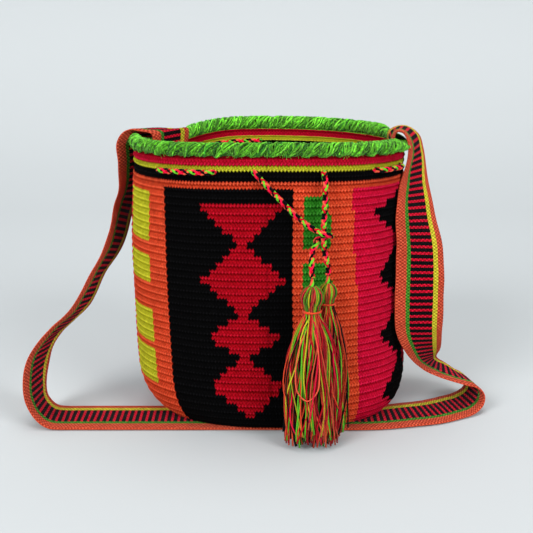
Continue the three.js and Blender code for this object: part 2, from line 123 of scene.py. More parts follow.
# The wall's outer surface from above, and points at a distance out from it
def wallOutline(angle, height):
    s = bagShape
    turned = np.radians(angle)
    corner = np.clip(1 - height / s["cornerHeight"], 0, 1)
    pull = 1 - np.sqrt(1 - corner ** 2)
    flare = smooth(height, s["flareStart"], s["height"])
    halfWidth = s["width"] / 2 + s["flareSide"] * flare - s["cornerSide"] * pull
    halfDepth = s["depth"] / 2 + s["flareFront"] * flare - s["cornerFront"] * pull
    across = np.abs(np.sin(turned) / halfWidth) ** s["squareness"]
    along = np.abs(np.cos(turned) / halfDepth) ** s["squareness"]
    dent = s["dent"] * dentShare(angle) + sideDent(angle)
    dent = dent * smooth(height, s["height"] - s["dentHeight"], s["height"])
    reach = (across + along) ** (-1 / s["squareness"]) - dent
    shift = s["lean"] * (1 - np.exp(-np.maximum(0, height) / s["leanHeight"]))
    return np.stack([shift + reach * np.sin(turned), -reach * np.cos(turned)], axis=-1)


def wallPoint(angle, height, out):
    s = bagShape
    given = (np.asarray(v, dtype=float) for v in (angle, height, out))
    angle, height, out = np.broadcast_arrays(*given)
    run = wallOutline(angle + 1, height) - wallOutline(angle - 1, height)
    run = run / np.linalg.norm(run, axis=-1, keepdims=True)
    place = wallOutline(angle, height)
    wave = s["rise"] - s["drop"] * np.sin(np.radians(angle)) ** 2
    wave = (wave - s["dentDrop"] * dentShare(angle)) * smooth(height, s["waveStart"], s["height"])
    x = place[..., 0] + run[..., 1] * out
    y = place[..., 1] - run[..., 0] * out
    return np.stack([x, y, height + wave], axis=-1)


def angleAfter(angle, height, distance):
    step = wallOutline(angle + 0.5, height) - wallOutline(angle - 0.5, height)
    return angle + distance / float(np.linalg.norm(step))


# A curve through points, the same as the one the frame's solids follow
def throughPoints(points, shares):
    points = np.asarray(points, dtype=float)
    last = len(points) - 1
    place = np.clip(np.asarray(shares, dtype=float), 0, 1) * last
    index = np.minimum(place.astype(int), last - 1)
    weight = (place - index)[:, None]
    padded = np.vstack([2 * points[0] - points[1], points, 2 * points[-1] - points[-2]])
    p0, p1, p2, p3 = (padded[index + k] for k in range(4))

    def spacing(a, b):
        return np.sqrt(np.linalg.norm(b - a, axis=1))[:, None]

    d0, d1, d2 = spacing(p0, p1), spacing(p1, p2), spacing(p2, p3)
    t1 = ((p1 - p0) / d0 - (p2 - p0) / (d0 + d1) + (p2 - p1) / d1) * d1
    t2 = ((p2 - p1) / d1 - (p3 - p1) / (d1 + d2) + (p3 - p2) / d2) * d1
    return (p1 + t1 * weight + (-3 * p1 + 3 * p2 - 2 * t1 - t2) * weight ** 2
            + (2 * p1 - 2 * p2 + t1 + t2) * weight ** 3)


# The length of a line up to each of its points, and its points at given lengths
def runAlong(line):
    return np.concatenate([[0], np.cumsum(np.linalg.norm(np.diff(line, axis=0), axis=1))])


def pointsAt(marks, run, line):
    return np.stack([np.interp(marks, run, line[:, k]) for k in range(3)], axis=1)


def unit(vectors):
    return vectors / np.maximum(np.linalg.norm(vectors, axis=-1, keepdims=True), 1e-12)


# Two directions across a line at each of its points, turning as little as they can
def carriedFrames(line):
    tangents = unit(np.gradient(line, axis=0))
    side = np.zeros_like(line)
    first = np.cross(tangents[0], (0, 0, 1) if abs(tangents[0][2]) < 0.9 else (1, 0, 0))
    side[0] = first / np.linalg.norm(first)
    for i in range(1, len(line)):
        carried = side[i - 1] - tangents[i] * np.dot(side[i - 1], tangents[i])
        side[i] = carried / np.linalg.norm(carried)
    return side, np.cross(tangents, side)


# A mesh object from arrays. Tones are one a face, grooves and yarn places one a vertex.
def makeObject(name, vertices, faces, tones=None, grooves=None, uv=None):
    mesh = bpy.data.meshes.new(name)
    mesh.from_pydata(np.asarray(vertices).tolist(), [], [list(f) for f in faces])
    mesh.polygons.foreach_set("use_smooth", np.ones(len(mesh.polygons), dtype=bool))
    if tones is not None:
        sizes = np.array([p.loop_total for p in mesh.polygons])
        cornerTones = np.repeat(np.asarray(tones, dtype=float), sizes, axis=0)
        layer = mesh.color_attributes.new("tone", "FLOAT_COLOR", "CORNER")
        layer.data.foreach_set("color", cornerTones.ravel())
    if grooves is not None:
        layer = mesh.attributes.new("groove", "FLOAT", "POINT")
        layer.data.foreach_set("value", np.asarray(grooves, dtype=float))
    if uv is not None:
        corners = np.zeros(len(mesh.loops), dtype=int)
        mesh.loops.foreach_get("vertex_index", corners)
        layer = mesh.uv_layers.new(name="Yarn")
        layer.data.foreach_set("uv", np.asarray(uv, dtype=float)[corners].ravel())
    mesh.update()
    made = bpy.data.objects.new(name, mesh)
    bpy.context.scene.collection.objects.link(made)
    return made


# Faces of a grid of rings whose columns close round, rings first
def roundFaces(ringCount, columns, start=0):
    rows = np.arange(ringCount - 1)[:, None]
    cols = np.arange(columns)[None, :]
    after = (cols + 1) % columns
    a = start + rows * columns + cols
    b = start + rows * columns + after
    c = start + (rows + 1) * columns + after
    d = start + (rows + 1) * columns + cols
    return np.stack([a, b, c, d], axis=-1).reshape(-1, 4)


yarnPerRadian = 0.001  # how fast the yarn place goes round a strand, in metres


# One tube along a line, as vertices, faces, yarn places and end caps
def tubeArrays(line, radius, sides, start=0):
    side, up = carriedFrames(line)
    turns = np.arange(sides) * 2 * math.pi / sides
    radii = np.broadcast_to(np.asarray(radius, dtype=float), (len(line),))
    ring = (side[:, None] * np.cos(turns)[None, :, None]
            + up[:, None] * np.sin(turns)[None, :, None])
    vertices = (line[:, None] + ring * radii[:, None, None]).reshape(-1, 3)
    faces = roundFaces(len(line), sides, start)
    uv = np.stack([np.repeat(runAlong(line), sides),
                   np.tile(turns * yarnPerRadian, len(line))], axis=1)
    caps = [list(range(start + sides - 1, start - 1, -1)),
            list(range(start + (len(line) - 1) * sides, start + len(line) * sides))]
    return vertices, faces, uv, caps


# Many tubes as one object. Each strand is (line, radius, dye).
def strandObject(name, strands, sides):
    allVertices, allFaces, allTones, allUv = [], [], [], []
    start = 0
    for line, radius, dye in strands:
        vertices, faces, uv, caps = tubeArrays(np.asarray(line), radius, sides, start)
        allVertices.append(vertices)
        allUv.append(uv)
        allFaces.extend(faces.tolist())
        allFaces.extend(caps)
        allTones.append(np.repeat(np.asarray(dye)[None], len(faces) + 2, axis=0))
        start += len(vertices)
    return makeObject(name, np.vstack(allVertices), allFaces, np.vstack(allTones), None,
                      np.vstack(allUv))


# Shader nodes: an input is given as a value, or as the socket that feeds it
def feed(node, inputs):
    for label, given in inputs.items():
        if isinstance(given, bpy.types.NodeSocket):
            node.id_data.links.new(given, node.inputs[label])
        else:
            node.inputs[label].default_value = given
    return node


def addNode(tree, kind, inputs=None, **settings):
    node = tree.nodes.new(kind)
    for key, value in settings.items():
        setattr(node, key, value)
    return feed(node, inputs or {})


def mathNode(tree, operation, *given):
    inputs = dict(enumerate(given))
    return addNode(tree, "ShaderNodeMath", inputs, operation=operation).outputs[0]


def newGroup(name, inputs, outputs):
    group = bpy.data.node_groups.new(name, "ShaderNodeTree")
    for labels, way in ((inputs, "INPUT"), (outputs, "OUTPUT")):
        for label, kind in labels.items():
            group.interface.new_socket(name=label, in_out=way, socket_type=f"NodeSocket{kind}")
    return group, addNode(group, "NodeGroupInput").outputs, addNode(group, "NodeGroupOutput")


cottonSpin = {
    "fibreDetail": 3.0, "fibreRoughness": 0.65, "fibreHeight": 0.6,
    "patchScale": 55.0, "patchDetail": 2.0, "patchShare": 0.28,
    "plyDistortion": 1.2, "plyDetail": 1.0, "plyShare": 0.10,
    # ridgeLight and the two gammas paint light: a painted highlight on ridges, painted shade in
    # grooves
    "strength": 0.81, "ridgeLight": 1.42, "grooveShadeGamma": 1.36, "ridgeHighlightGamma": -0.5,
    "roughness": (0.78, 1.0),
}


# Spun cotton: fine fibres, worn patches and plies. Painted shade and highlight follow the Groove
# input: a low place is painted darker and deeper in colour, a ridge lighter and paler.
def buildYarnGroup():
    spin = cottonSpin
    group, given, result = newGroup(
        "spunCotton",
        {"Color": "Color", "Groove": "Float", "Yarn Place": "Vector", "Fibre Scale": "Float",
         "Ply Scale": "Float", "Shade Depth": "Float", "Mottle": "Float"},
        {"Color": "Color", "Roughness": "Float", "Height": "Float"})
    place = addNode(group, "ShaderNodeTexCoord").outputs["Object"]
    fibres = addNode(group, "ShaderNodeTexNoise", {
        "Vector": place, "Scale": given["Fibre Scale"], "Detail": spin["fibreDetail"],
        "Roughness": spin["fibreRoughness"]}).outputs["Fac"]
    patches = addNode(group, "ShaderNodeTexNoise", {
        "Vector": place, "Scale": spin["patchScale"],
        "Detail": spin["patchDetail"]}).outputs["Fac"]
    plies = addNode(group, "ShaderNodeTexWave", {
        "Vector": given["Yarn Place"], "Scale": given["Ply Scale"],
        "Distortion": spin["plyDistortion"], "Detail": spin["plyDetail"],
    }, wave_type="BANDS", bands_direction="DIAGONAL").outputs["Fac"]

    uneven = mathNode(group, "SUBTRACT", fibres, 0.5)
    bright = mathNode(group, "MULTIPLY_ADD", uneven, given["Mottle"], spin["strength"])
    patched = mathNode(group, "MULTIPLY_ADD", patches, spin["patchShare"], bright)
    plied = mathNode(group, "MULTIPLY_ADD", plies, spin["plyShare"], patched)
    # painted shade in the grooves and a painted highlight on the ridges
    shade = addNode(group, "ShaderNodeMapRange", {
        "Value": given["Groove"], "To Min": mathNode(group, "SUBTRACT", 1.0, given["Shade Depth"]),
        "To Max": spin["ridgeLight"]}).outputs["Result"]
    # painted shade: grooves take a deeper, redder colour, ridges a paler one
    power = mathNode(group, "MULTIPLY_ADD", given["Groove"], spin["ridgeHighlightGamma"],
                     spin["grooveShadeGamma"])
    deep = addNode(group, "ShaderNodeGamma", {"Color": given["Color"], "Gamma": power})
    shadedDye = addNode(group, "ShaderNodeHueSaturation", {
        "Color": deep.outputs["Color"], "Value": mathNode(group, "MULTIPLY", plied, shade)})
    rough = addNode(group, "ShaderNodeMapRange", {
        "Value": fibres, "To Min": spin["roughness"][0], "To Max": spin["roughness"][1]})
    feed(result, {
        "Color": shadedDye.outputs["Color"], "Roughness": rough.outputs["Result"],
        "Height": mathNode(group, "MULTIPLY_ADD", fibres, spin["fibreHeight"], plies)})
    return group


# The two legs of each stitch, which meet low in its middle. Its place is in stitches and rows.
def buildLegsGroup():
    legsFrom, legsSpread = 0.12, 0.76
    group, given, result = newGroup(
        "stitchLegs", {"Stitch Place": "Vector", "Leg Width": "Float"}, {"Legs": "Float"})
    parts = addNode(group, "ShaderNodeSeparateXYZ", {0: given["Stitch Place"]}).outputs
    across = mathNode(group, "FRACT", parts["X"])
    up = mathNode(group, "FRACT", parts["Y"])
    middle = mathNode(group, "ABSOLUTE", mathNode(group, "SUBTRACT", across, 0.5))
    off = mathNode(group, "MULTIPLY", middle, 2.0)
    legLine = mathNode(group, "ADD", mathNode(group, "MULTIPLY", up, legsSpread), legsFrom)
    apart = mathNode(group, "ABSOLUTE", mathNode(group, "SUBTRACT", off, legLine))
    legs = addNode(group, "ShaderNodeMapRange", {
        "Value": apart, "From Max": given["Leg Width"], "To Min": 1.0, "To Max": 0.0,
    }, interpolation_type="SMOOTHSTEP")
    feed(result, {"Legs": legs.outputs["Result"]})
    return group


# The warp of a woven band, which shows as small beads in offset rows. Its place is in metres.
def buildBeadsGroup():
    pitchAcross, pitchAlong = 0.0056, 0.0032
    group, given, result = newGroup("wovenBeads", {"Band Place": "Vector"}, {"Beads": "Float"})
    parts = addNode(group, "ShaderNodeSeparateXYZ", {0: given["Band Place"]}).outputs
    waves = [mathNode(group, "SINE", mathNode(group, "MULTIPLY", parts[axis], 2 * math.pi / pitch))
             for axis, pitch in (("X", pitchAcross), ("Y", pitchAlong))]
    half = mathNode(group, "MULTIPLY", mathNode(group, "MULTIPLY", *waves), 0.5)
    feed(result, {"Beads": mathNode(group, "ADD", half, 0.5)})
    return group


yarnGroup = buildYarnGroup()
legsGroup = buildLegsGroup()
beadsGroup = buildBeadsGroup()

# legs: the width of a stitch's leg; beads: how deep the painted shade between the weave's beads is
yarnLooks = {
    "crochetCotton": {"sheen": 0.0, "mottle": 1.2, "fibreScale": 900, "plyScale": 2.4,
                      "shadeDepth": 0.66, "grooves": True, "legs": 0.62, "bump": 0.9,
                      "bumpDepth": 0.0007},
    "fluffyCotton": {"sheen": 0.12, "mottle": 3.2, "fibreScale": 420, "plyScale": 500,
                     "shadeDepth": 0.3, "grooves": False, "bump": 0.8, "bumpDepth": 0.0004},
    "wovenCotton": {"sheen": 0.03, "mottle": 1.6, "fibreScale": 1200, "plyScale": 420,
                    "shadeDepth": 0.72, "grooves": True, "beads": 1.25, "bump": 0.9,
                    "bumpDepth": 0.0005},
    "cordCotton": {"sheen": 0.05, "mottle": 1.2, "fibreScale": 1500, "plyScale": 700,
                   "shadeDepth": 0.3, "grooves": False, "bump": 0.7, "bumpDepth": 0.0003},
}
yarnRelief = {
    # legShade and beadShade: painted shade between stitch legs and between weave beads
    "plainGroove": 0.6, "legShade": (0.55, 0.62), "legHeight": 1.6, "beadShade": 0.6,
    "beadHeight": 2.0, "sheenRoughness": 0.4, "specular": 0.04,
}


def makeYarnMaterial(name, look):
    relief = yarnRelief
    material = bpy.data.materials.new(name)
    material.use_nodes = True
    tree = material.node_tree
    dye = addNode(tree, "ShaderNodeAttribute", attribute_name="tone").outputs["Color"]
    place = addNode(tree, "ShaderNodeUVMap", uv_map="Yarn").outputs["UV"]
    yarn = addNode(tree, "ShaderNodeGroup", {
        "Color": dye, "Yarn Place": place, "Fibre Scale": look["fibreScale"],
        "Ply Scale": look["plyScale"], "Shade Depth": look["shadeDepth"],
        "Mottle": look["mottle"]}, node_tree=yarnGroup)
    groove, height = relief["plainGroove"], yarn.outputs["Height"]
    if look["grooves"]:
        groove = addNode(tree, "ShaderNodeAttribute", attribute_name="groove").outputs["Fac"]
    if "legs" in look:
        legs = addNode(tree, "ShaderNodeGroup", {
            "Stitch Place": place, "Leg Width": look["legs"]}, node_tree=legsGroup).outputs["Legs"]
        # painted shade between a stitch's legs
        low = mathNode(tree, "MULTIPLY_ADD", legs, *relief["legShade"])
        groove = mathNode(tree, "MULTIPLY", groove, low)
        height = mathNode(tree, "MULTIPLY_ADD", legs, relief["legHeight"], height)
    if "beads" in look:
        beads = addNode(tree, "ShaderNodeGroup", {"Band Place": place},
                        node_tree=beadsGroup).outputs["Beads"]
        # painted shade between the weave's beads
        depth = mathNode(tree, "MULTIPLY", beads, look["beads"])
        low = mathNode(tree, "ADD", depth, 1 - look["beads"] * relief["beadShade"])
        groove = mathNode(tree, "MULTIPLY", groove, low)
        raised = mathNode(tree, "MULTIPLY", beads, relief["beadHeight"])
        height = mathNode(tree, "ADD", height, raised)
    feed(yarn, {"Groove": groove})
    bump = addNode(tree, "ShaderNodeBump", {
        "Strength": look["bump"], "Distance": look["bumpDepth"], "Height": height})
    feed(tree.nodes["Principled BSDF"], {
        "Sheen Weight": look["sheen"], "Sheen Roughness": relief["sheenRoughness"],
        "Specular IOR Level": relief["specular"], "Base Color": yarn.outputs["Color"],
        "Roughness": yarn.outputs["Roughness"], "Normal": bump.outputs["Normal"]})
    return material


yarnMaterials = {name: makeYarnMaterial(name, look) for name, look in yarnLooks.items()}


def finish(piece, material, body, node):
    piece.data.materials.append(yarnMaterials[material])
    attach(piece, body)
    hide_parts(node)


print("materials made")

# Camera: a long lens a metre away, a little above the bag and looking down at it
cameraSetup = {"place": (-0.010, -1.070, 0.411), "down": 14.2, "lens": 72.3, "sensor": 36}
cameraData = bpy.data.cameras.new("camera")
cameraData.lens = cameraSetup["lens"]
cameraData.sensor_width = cameraSetup["sensor"]
camera = bpy.data.objects.new("camera", cameraData)
camera.location = cameraSetup["place"]
camera.rotation_euler = (math.radians(90 - cameraSetup["down"]), 0, 0)
bpy.context.scene.collection.objects.link(camera)
bpy.context.scene.camera = camera

# Drawstring: the route is the one its solid follows, in and out of the eyelets
cordShape = {
    "diameter": 0.006, "line": 0.0125, "wallGap": 0.0012, "bend": 0.0055,
    "overDent": 0.0169, "overStrap": 0.0164, "leftHole": -6.4, "rightHole": 25.6 - 360,
    "strands": ["pink", "black", "black", "strapOrange", "leaf", "red"], "strandSides": 7,
    "strandOffset": 0.00148, "strandRadius": 0.00118, "braidPitch": 0.017, "braidWeave": 0.16,
    "step": 0.0011, "fine": 40, "pathStep": 6,
}
knotShape = {"x": 0.042, "out": 0.012, "z": 0.197, "radius": 0.0072, "fall": 0.012,
             "steps": 8, "start": -110}
tasselShapes = {
    "front": {"x": 0.0315, "y": -0.1333, "height": 0.152, "head": 0.011, "neck": 0.0072,
              "width": 0.052, "depth": 0.024, "shift": -0.005, "strands": 250},
    "rear": {"x": 0.0465, "y": -0.1185, "height": 0.151, "head": 0.009, "neck": 0.0059,
             "width": 0.036, "depth": 0.016, "shift": 0.001, "strands": 170},
}
tasselBuild = {"foot": 0.004, "stem": 0.0052, "stemRadius": 0.0017, "bindingHeight": 0.003}
cordHeight = bagShape["height"] - cordShape["line"]
outsideLane = cordShape["diameter"] / 2 + cordShape["wallGap"]
insideLane = bagShape["wall"] + outsideLane
laneMiddle = (outsideLane - insideLane) / 2
frontFace = -bagShape["depth"] / 2


def pivotOf(shape):
    top = tasselBuild["foot"] + shape["height"] + tasselBuild["stem"]
    return np.array([shape["x"], shape["y"], top])


def eyeletPass(angle, outwards):
    half = (outsideLane + insideLane) / 2
    side = -1 if outwards else 1
    points = []
    for corner in (0, 45, 90, 135, 180):
        turned = math.radians(corner)
        run = math.sin(turned) - 1 if corner <= 90 else 1 - math.sin(turned)
        place = angleAfter(angle, cordHeight, -run * cordShape["bend"])
        points.append(wallPoint(place, cordHeight, laneMiddle + side * half * math.cos(turned)))
    return points


def lane(out, angles):
    return [wallPoint(angle, cordHeight, out) for angle in angles]


def inFront(x, out, z):
    return np.array([x, frontFace - out, z])


# The left end's turn round the right end
def knotTurn():
    k = knotShape
    points = []
    for step in range(k["steps"]):
        turned = math.radians(k["start"] + step * 360 / k["steps"])
        points.append(np.array([k["x"] + k["radius"] * math.cos(turned),
                                frontFace - k["out"] + k["radius"] * math.sin(turned),
                                k["z"] + k["fall"] * (0.5 - step / k["steps"])]))
    return points[::-1]


def cordRoute():
    left, right = cordShape["leftHole"], cordShape["rightHole"]
    frontTop, rearTop = pivotOf(tasselShapes["front"]), pivotOf(tasselShapes["rear"])
    endGap = np.array([0, 0, tasselBuild["stemRadius"] + bagShape["gap"]])
    eyeZ = wallPoint(left, cordHeight, 0)[2]
    leftHole = wallPoint(left, cordHeight, laneMiddle)
    rightHole = wallPoint(right, cordHeight, laneMiddle)
    return [
        frontTop + endGap,
        frontTop + (-0.0005, 0.001, 0.009),
        inFront(0.031, 0.021, frontTop[2] + 0.017),
        inFront(0.032, 0.016, frontTop[2] + 0.026),
        *knotTurn(),
        inFront(0.022, 0.012, 0.213),
        inFront(0, 0.008, 0.234),
        inFront(-0.016, 0.0075, eyeZ - 0.0055),
        leftHole + (0.001, -0.0046, eyeZ - 0.001 - leftHole[2]),
        leftHole,
        *eyeletPass(left, False)[3:],
        *lane(-insideLane, [-14]),
        *eyeletPass(-24.3, True),
        *lane(outsideLane, [-32, -40]),
        *eyeletPass(-50.5, False),
        *lane(-insideLane, [-59, -67]),
        *lane(-cordShape["overDent"], [-77, -86, -96, -106, -115, -124]),
        *lane(-insideLane, [-137, -152, -166]),
        *eyeletPass(-176, True),
        *lane(outsideLane, [-190, -204, -217]),
        *eyeletPass(-230, False),
        *lane(-insideLane, [-240, -250]),
        *lane(-cordShape["overStrap"], [-260, -270, -281]),
        *eyeletPass(-293, True),
        *lane(outsideLane, [-302]),
        *eyeletPass(-311, False),
        *lane(-insideLane, [-322]),
        *eyeletPass(right, True)[:2],
        rightHole,
        rightHole + (0, -0.0048, -0.001),
        inFront(0.043, 0.0085, rightHole[2] - 0.008),
        inFront(0.043, 0.0105, 0.232),
        inFront(0.042, 0.012, 0.212),
        inFront(0.042, 0.012, 0.196),
        inFront(0.0435, 0.0116, 0.182),
        rearTop + (0, 0, 0.009),
        rearTop + endGap,
    ]


# The route as points at even steps, and the length up to each
def cordLine(route):
    dense = throughPoints(route, np.linspace(0, 1, (len(route) - 1) * cordShape["fine"] + 1))
    run = runAlong(dense)
    count = max(2, int(round(run[-1] / cordShape["step"])) + 1)
    marks = np.linspace(0, run[-1], count)
    return pointsAt(marks, run, dense), marks


def makeDrawstring():
    route = np.array(cordRoute())
    line, marks = cordLine(route)
    side, up = carriedFrames(line)
    strands = []
    for k, name in enumerate(cordShape["strands"]):
        sense = 1 if k % 2 == 0 else -1
        phase = (k // 2) * math.pi * 2 / 3 + (0 if sense > 0 else math.pi / 3)
        turn = sense * 2 * math.pi * marks / cordShape["braidPitch"] + phase
        crossing = np.cos(2 * turn * sense + (0 if sense > 0 else math.pi))
        radius = cordShape["strandOffset"] * (1 + cordShape["braidWeave"] * crossing)
        strand = (line + side * (radius * np.cos(turn))[:, None]
                  + up * (radius * np.sin(turn))[:, None])
        strands.append((strand, cordShape["strandRadius"], yarnDyes[name]))
    cord = strandObject("drawstring_braid", strands, cordShape["strandSides"])
    finish(cord, "cordCotton", "bag", "drawstring")
    print("drawstring length", round(float(marks[-1]), 3))


makeDrawstring()

# Crocheted wall: rounds of stitches, with a coloured pattern worked into them.
# row: how far each half row stands out; groove: how light it is, painted shade dark in the grooves
# and a painted highlight on the ridges
crochet = {
    "stitches": 248, "footRows": 17, "wallRows": 65, "baseRounds": 26,
    "row": (-0.00060, 0.00085, -0.00020, 0.00022), "groove": (0.10, 1.0, 0.46, 0.66),
    "tooth": 0.0008, "ridgeTooth": 0.35, "slant": 0.24, "stitchSwell": 0.00016,
    # stitchShade: one leg of each stitch painted lighter than the other, painted light
    "stitchShade": 0.12, "shadeDrift": 0.05, "drift": 0.00018, "lowest": 0.0004,
    # ringShade: painted shade on the rounds under the edging; crownGroove: painted shade on the
    # last round
    "footPull": 0.0004, "dyeDrift": 0.035, "ringShade": 0.84, "crown": 0.005, "crownGroove": 0.4,
    "baseHole": 0.012, "baseLift": 0.0009, "baseRidge": 0.0005, "baseGrooves": (0.95, 0.45),
    "channelNear": -0.032, "channelFar": -0.024, "channelLift": 0.0041, "channelTop": 0.03,
    "wander": 0.0011, "wanderFrom": (0.01, 0.08), "wanderTo": (0.245, 0.262),
    "gather": 0.00077, "gatherFrom": (0.236, 0.246), "gatherTo": (0.250, 0.258),
    "evenHeight": 0.148,
}
liningShape = {
    "firstRow": 3, "relief": 0.7, "waves": 0.9, "shade": 0.92, "floorShade": 0.95,
    "drift": 0.00015, "rise": 0.0036, "riseFrom": -0.029, "riseTo": -0.013,
}
rowTotal = crochet["footRows"] + crochet["wallRows"]
ringLines = [(crochet["footRows"], bagShape["cornerHeight"]), (rowTotal - 9, 0.2373),
             (rowTotal - 7, 0.2434), (rowTotal - 4, 0.2528), (rowTotal - 2, 0.2578),
             (rowTotal, bagShape["height"])]


# Nominal height of a row line, which goes round the foot at the bottom
def rowLine(row):
    row = np.asarray(row, dtype=float)
    turned = np.clip(row / crochet["footRows"], 0, 1) * math.pi / 2
    foot = bagShape["cornerHeight"] * (1 - np.cos(turned))
    return np.where(row < crochet["footRows"], foot, np.interp(row, *zip(*ringLines)))


# Angles of the stitches, evenly spaced along the wall at mid height
def stitchAngles(count):
    fine = np.linspace(0, 360, 7201)
    run = runAlong(wallOutline(fine, np.full_like(fine, crochet["evenHeight"])))
    return np.interp(np.arange(count) / count * run[-1], run, fine)


# In millimetres round the wall and up it. Each figure of a stack: its lowest and highest
# line, its widest line, half its width there and half the width of its tips
figureStacks = {
    "red": [(187, 222, 222, 39, 3.5), (122, 187, 153, 39, 3.5), (78, 120, 97, 34, 3.5),
            (17, 76, 49, 35, 3.5)],
    "black": [(184, 229, 213, 42, 3.5), (122, 184, 150, 42, 3.5), (62, 122, 88.5, 40, 3.5),
              (8, 62, 28, 38, 3.5)],
}
squareHeights = [(183.6, 228), (140.4, 171.3), (85, 118), (39, 72)]
panels = {
    "repeat": 395, "from": -175, "yellowEnd": -97.5, "yellowSquares": (-168, -122.5),
    "redEnd": 23, "redMiddle": -23.5, "greenEnd": 85.5, "greenSquares": (32.5, 60),
    "blackMiddle": 152,
}
# The right corner's columns lean to the front near the mouth: by how much, and where
columnLean = {"most": 10, "middle": 112, "half": 105, "low": 120, "high": 225}
# The rounds at the mouth, counted from the top, and the base's rounds from its middle
# the top two rounds take the darker pink: painted shade under the edging
ringTones = ["pinkInEdgingShade"] * 2 + ["yellow"] * 2 + ["black"] * 3 + ["salmon"] * 2
baseTones = (["salmon"] * 4 + ["pink"] * 6 + ["black"] * 4 + ["yellow"] * 2 + ["black"] * 4
             + ["salmon"] * 6)
ringRows = len(ringTones)


def inStack(away, height, figures):
    for low, high, middle, half, tip in figures:
        if low <= height < high:
            end = high if height >= middle else low
            share = abs(end - height) / max(abs(end - middle), 1e-6)
            return away < tip + (half - tip) * share
    return False


def leanOf(arc, height):
    rise = smooth(height, columnLean["low"], columnLean["high"])
    return columnLean["most"] * rise * hump(abs(arc - columnLean["middle"]) / columnLean["half"])


# The colour of a stitch. Colours change every second round below the mouth.
def patternTone(arc, row):
    fromTop = rowTotal - 1 - row
    if fromTop < ringRows:
        return ringTones[fromTop]
    arc = arc + leanOf(arc, rowLine(row) * 1000)
    pairRow = fromTop - (fromTop - ringRows) % 2
    height = float(rowLine(rowTotal - pairRow - 1)) * 1000
    along = (arc - panels["from"]) % panels["repeat"] + panels["from"]
    inSquare = any(low <= height < high for low, high in squareHeights)
    if along < panels["yellowEnd"]:
        low, high = panels["yellowSquares"]
        return "yellow" if inSquare and low < along < high else "salmon"
    if along < panels["redEnd"]:
        red = inStack(abs(along - panels["redMiddle"]), height, figureStacks["red"])
        return "red" if red else "black"
    if along < panels["greenEnd"]:
        low, high = panels["greenSquares"]
        return "green" if inSquare and low < along < high else "salmon"
    black = inStack(abs(along - panels["blackMiddle"]), height, figureStacks["black"])
    return "black" if black else "pink"


# Low waves of a soft wall, the same for its outer and inner faces
def wallWaves(angle, height):
    turned = np.radians(angle)
    waves = (np.sin(3 * turned + 26 * height + 0.6) * 0.45
             + np.sin(7 * turned - 41 * height + 2.1) * 0.3
             + np.sin(13 * turned + 60 * height + 4.0) * 0.18)
    ease = smooth(height, *crochet["wanderFrom"]) * (1 - smooth(height, *crochet["wanderTo"]))
    return crochet["wander"] * waves * ease


# The rounds by the drawstring are drawn in a little
def gatherAt(height):
    ease = smooth(height, *crochet["gatherFrom"]) * (1 - smooth(height, *crochet["gatherTo"]))
    return -crochet["gather"] * ease


def liftOverStrap(points, height):
    away = smooth(points[..., 1], crochet["channelNear"], crochet["channelFar"])
    lift = crochet["channelLift"] * (1 - away)
    lifted = np.maximum(points[..., 2], lift)
    points[..., 2] = np.where(height < crochet["channelTop"], lifted, points[..., 2])
    return points


# The last round stands up into the edging
def wallCrown(angle):
    crown = wallPoint(angle, bagShape["height"], -bagShape["wall"] / 2)
    crown[:, 2] += crochet["crown"] * (1 - bagShape["pressed"] * pressShare(angle))
    return crown


def baseDye(k):
    return yarnDyes[baseTones[k * len(baseTones) // crochet["baseRounds"]]]


# One round of the base: its ring, drawn in to the middle, and its groove shade, painted darker on
# every second round
def baseRound(k, outline):
    share = max(crochet["baseHole"], k / crochet["baseRounds"])
    ring = outline * (share, share, 0)
    ring[:, 2] = crochet["baseRidge"] if k % 2 else 0
    return ring, np.full(len(ring), crochet["baseGrooves"][k % 2])


# Where a round's points are, in stitches and rows
def patternPlace(across, row):
    return np.stack([across, np.full(len(across), row)], axis=1)


stitchPlaces = stitchAngles(2 * crochet["stitches"])
stitchStep = 360 / crochet["stitches"]
stitchArcs = (np.arange(crochet["stitches"]) + 0.5) / crochet["stitches"] * 2 * panels["repeat"]
tonePlan = [[patternTone(arc, row) for arc in stitchArcs] for row in range(rowTotal)]


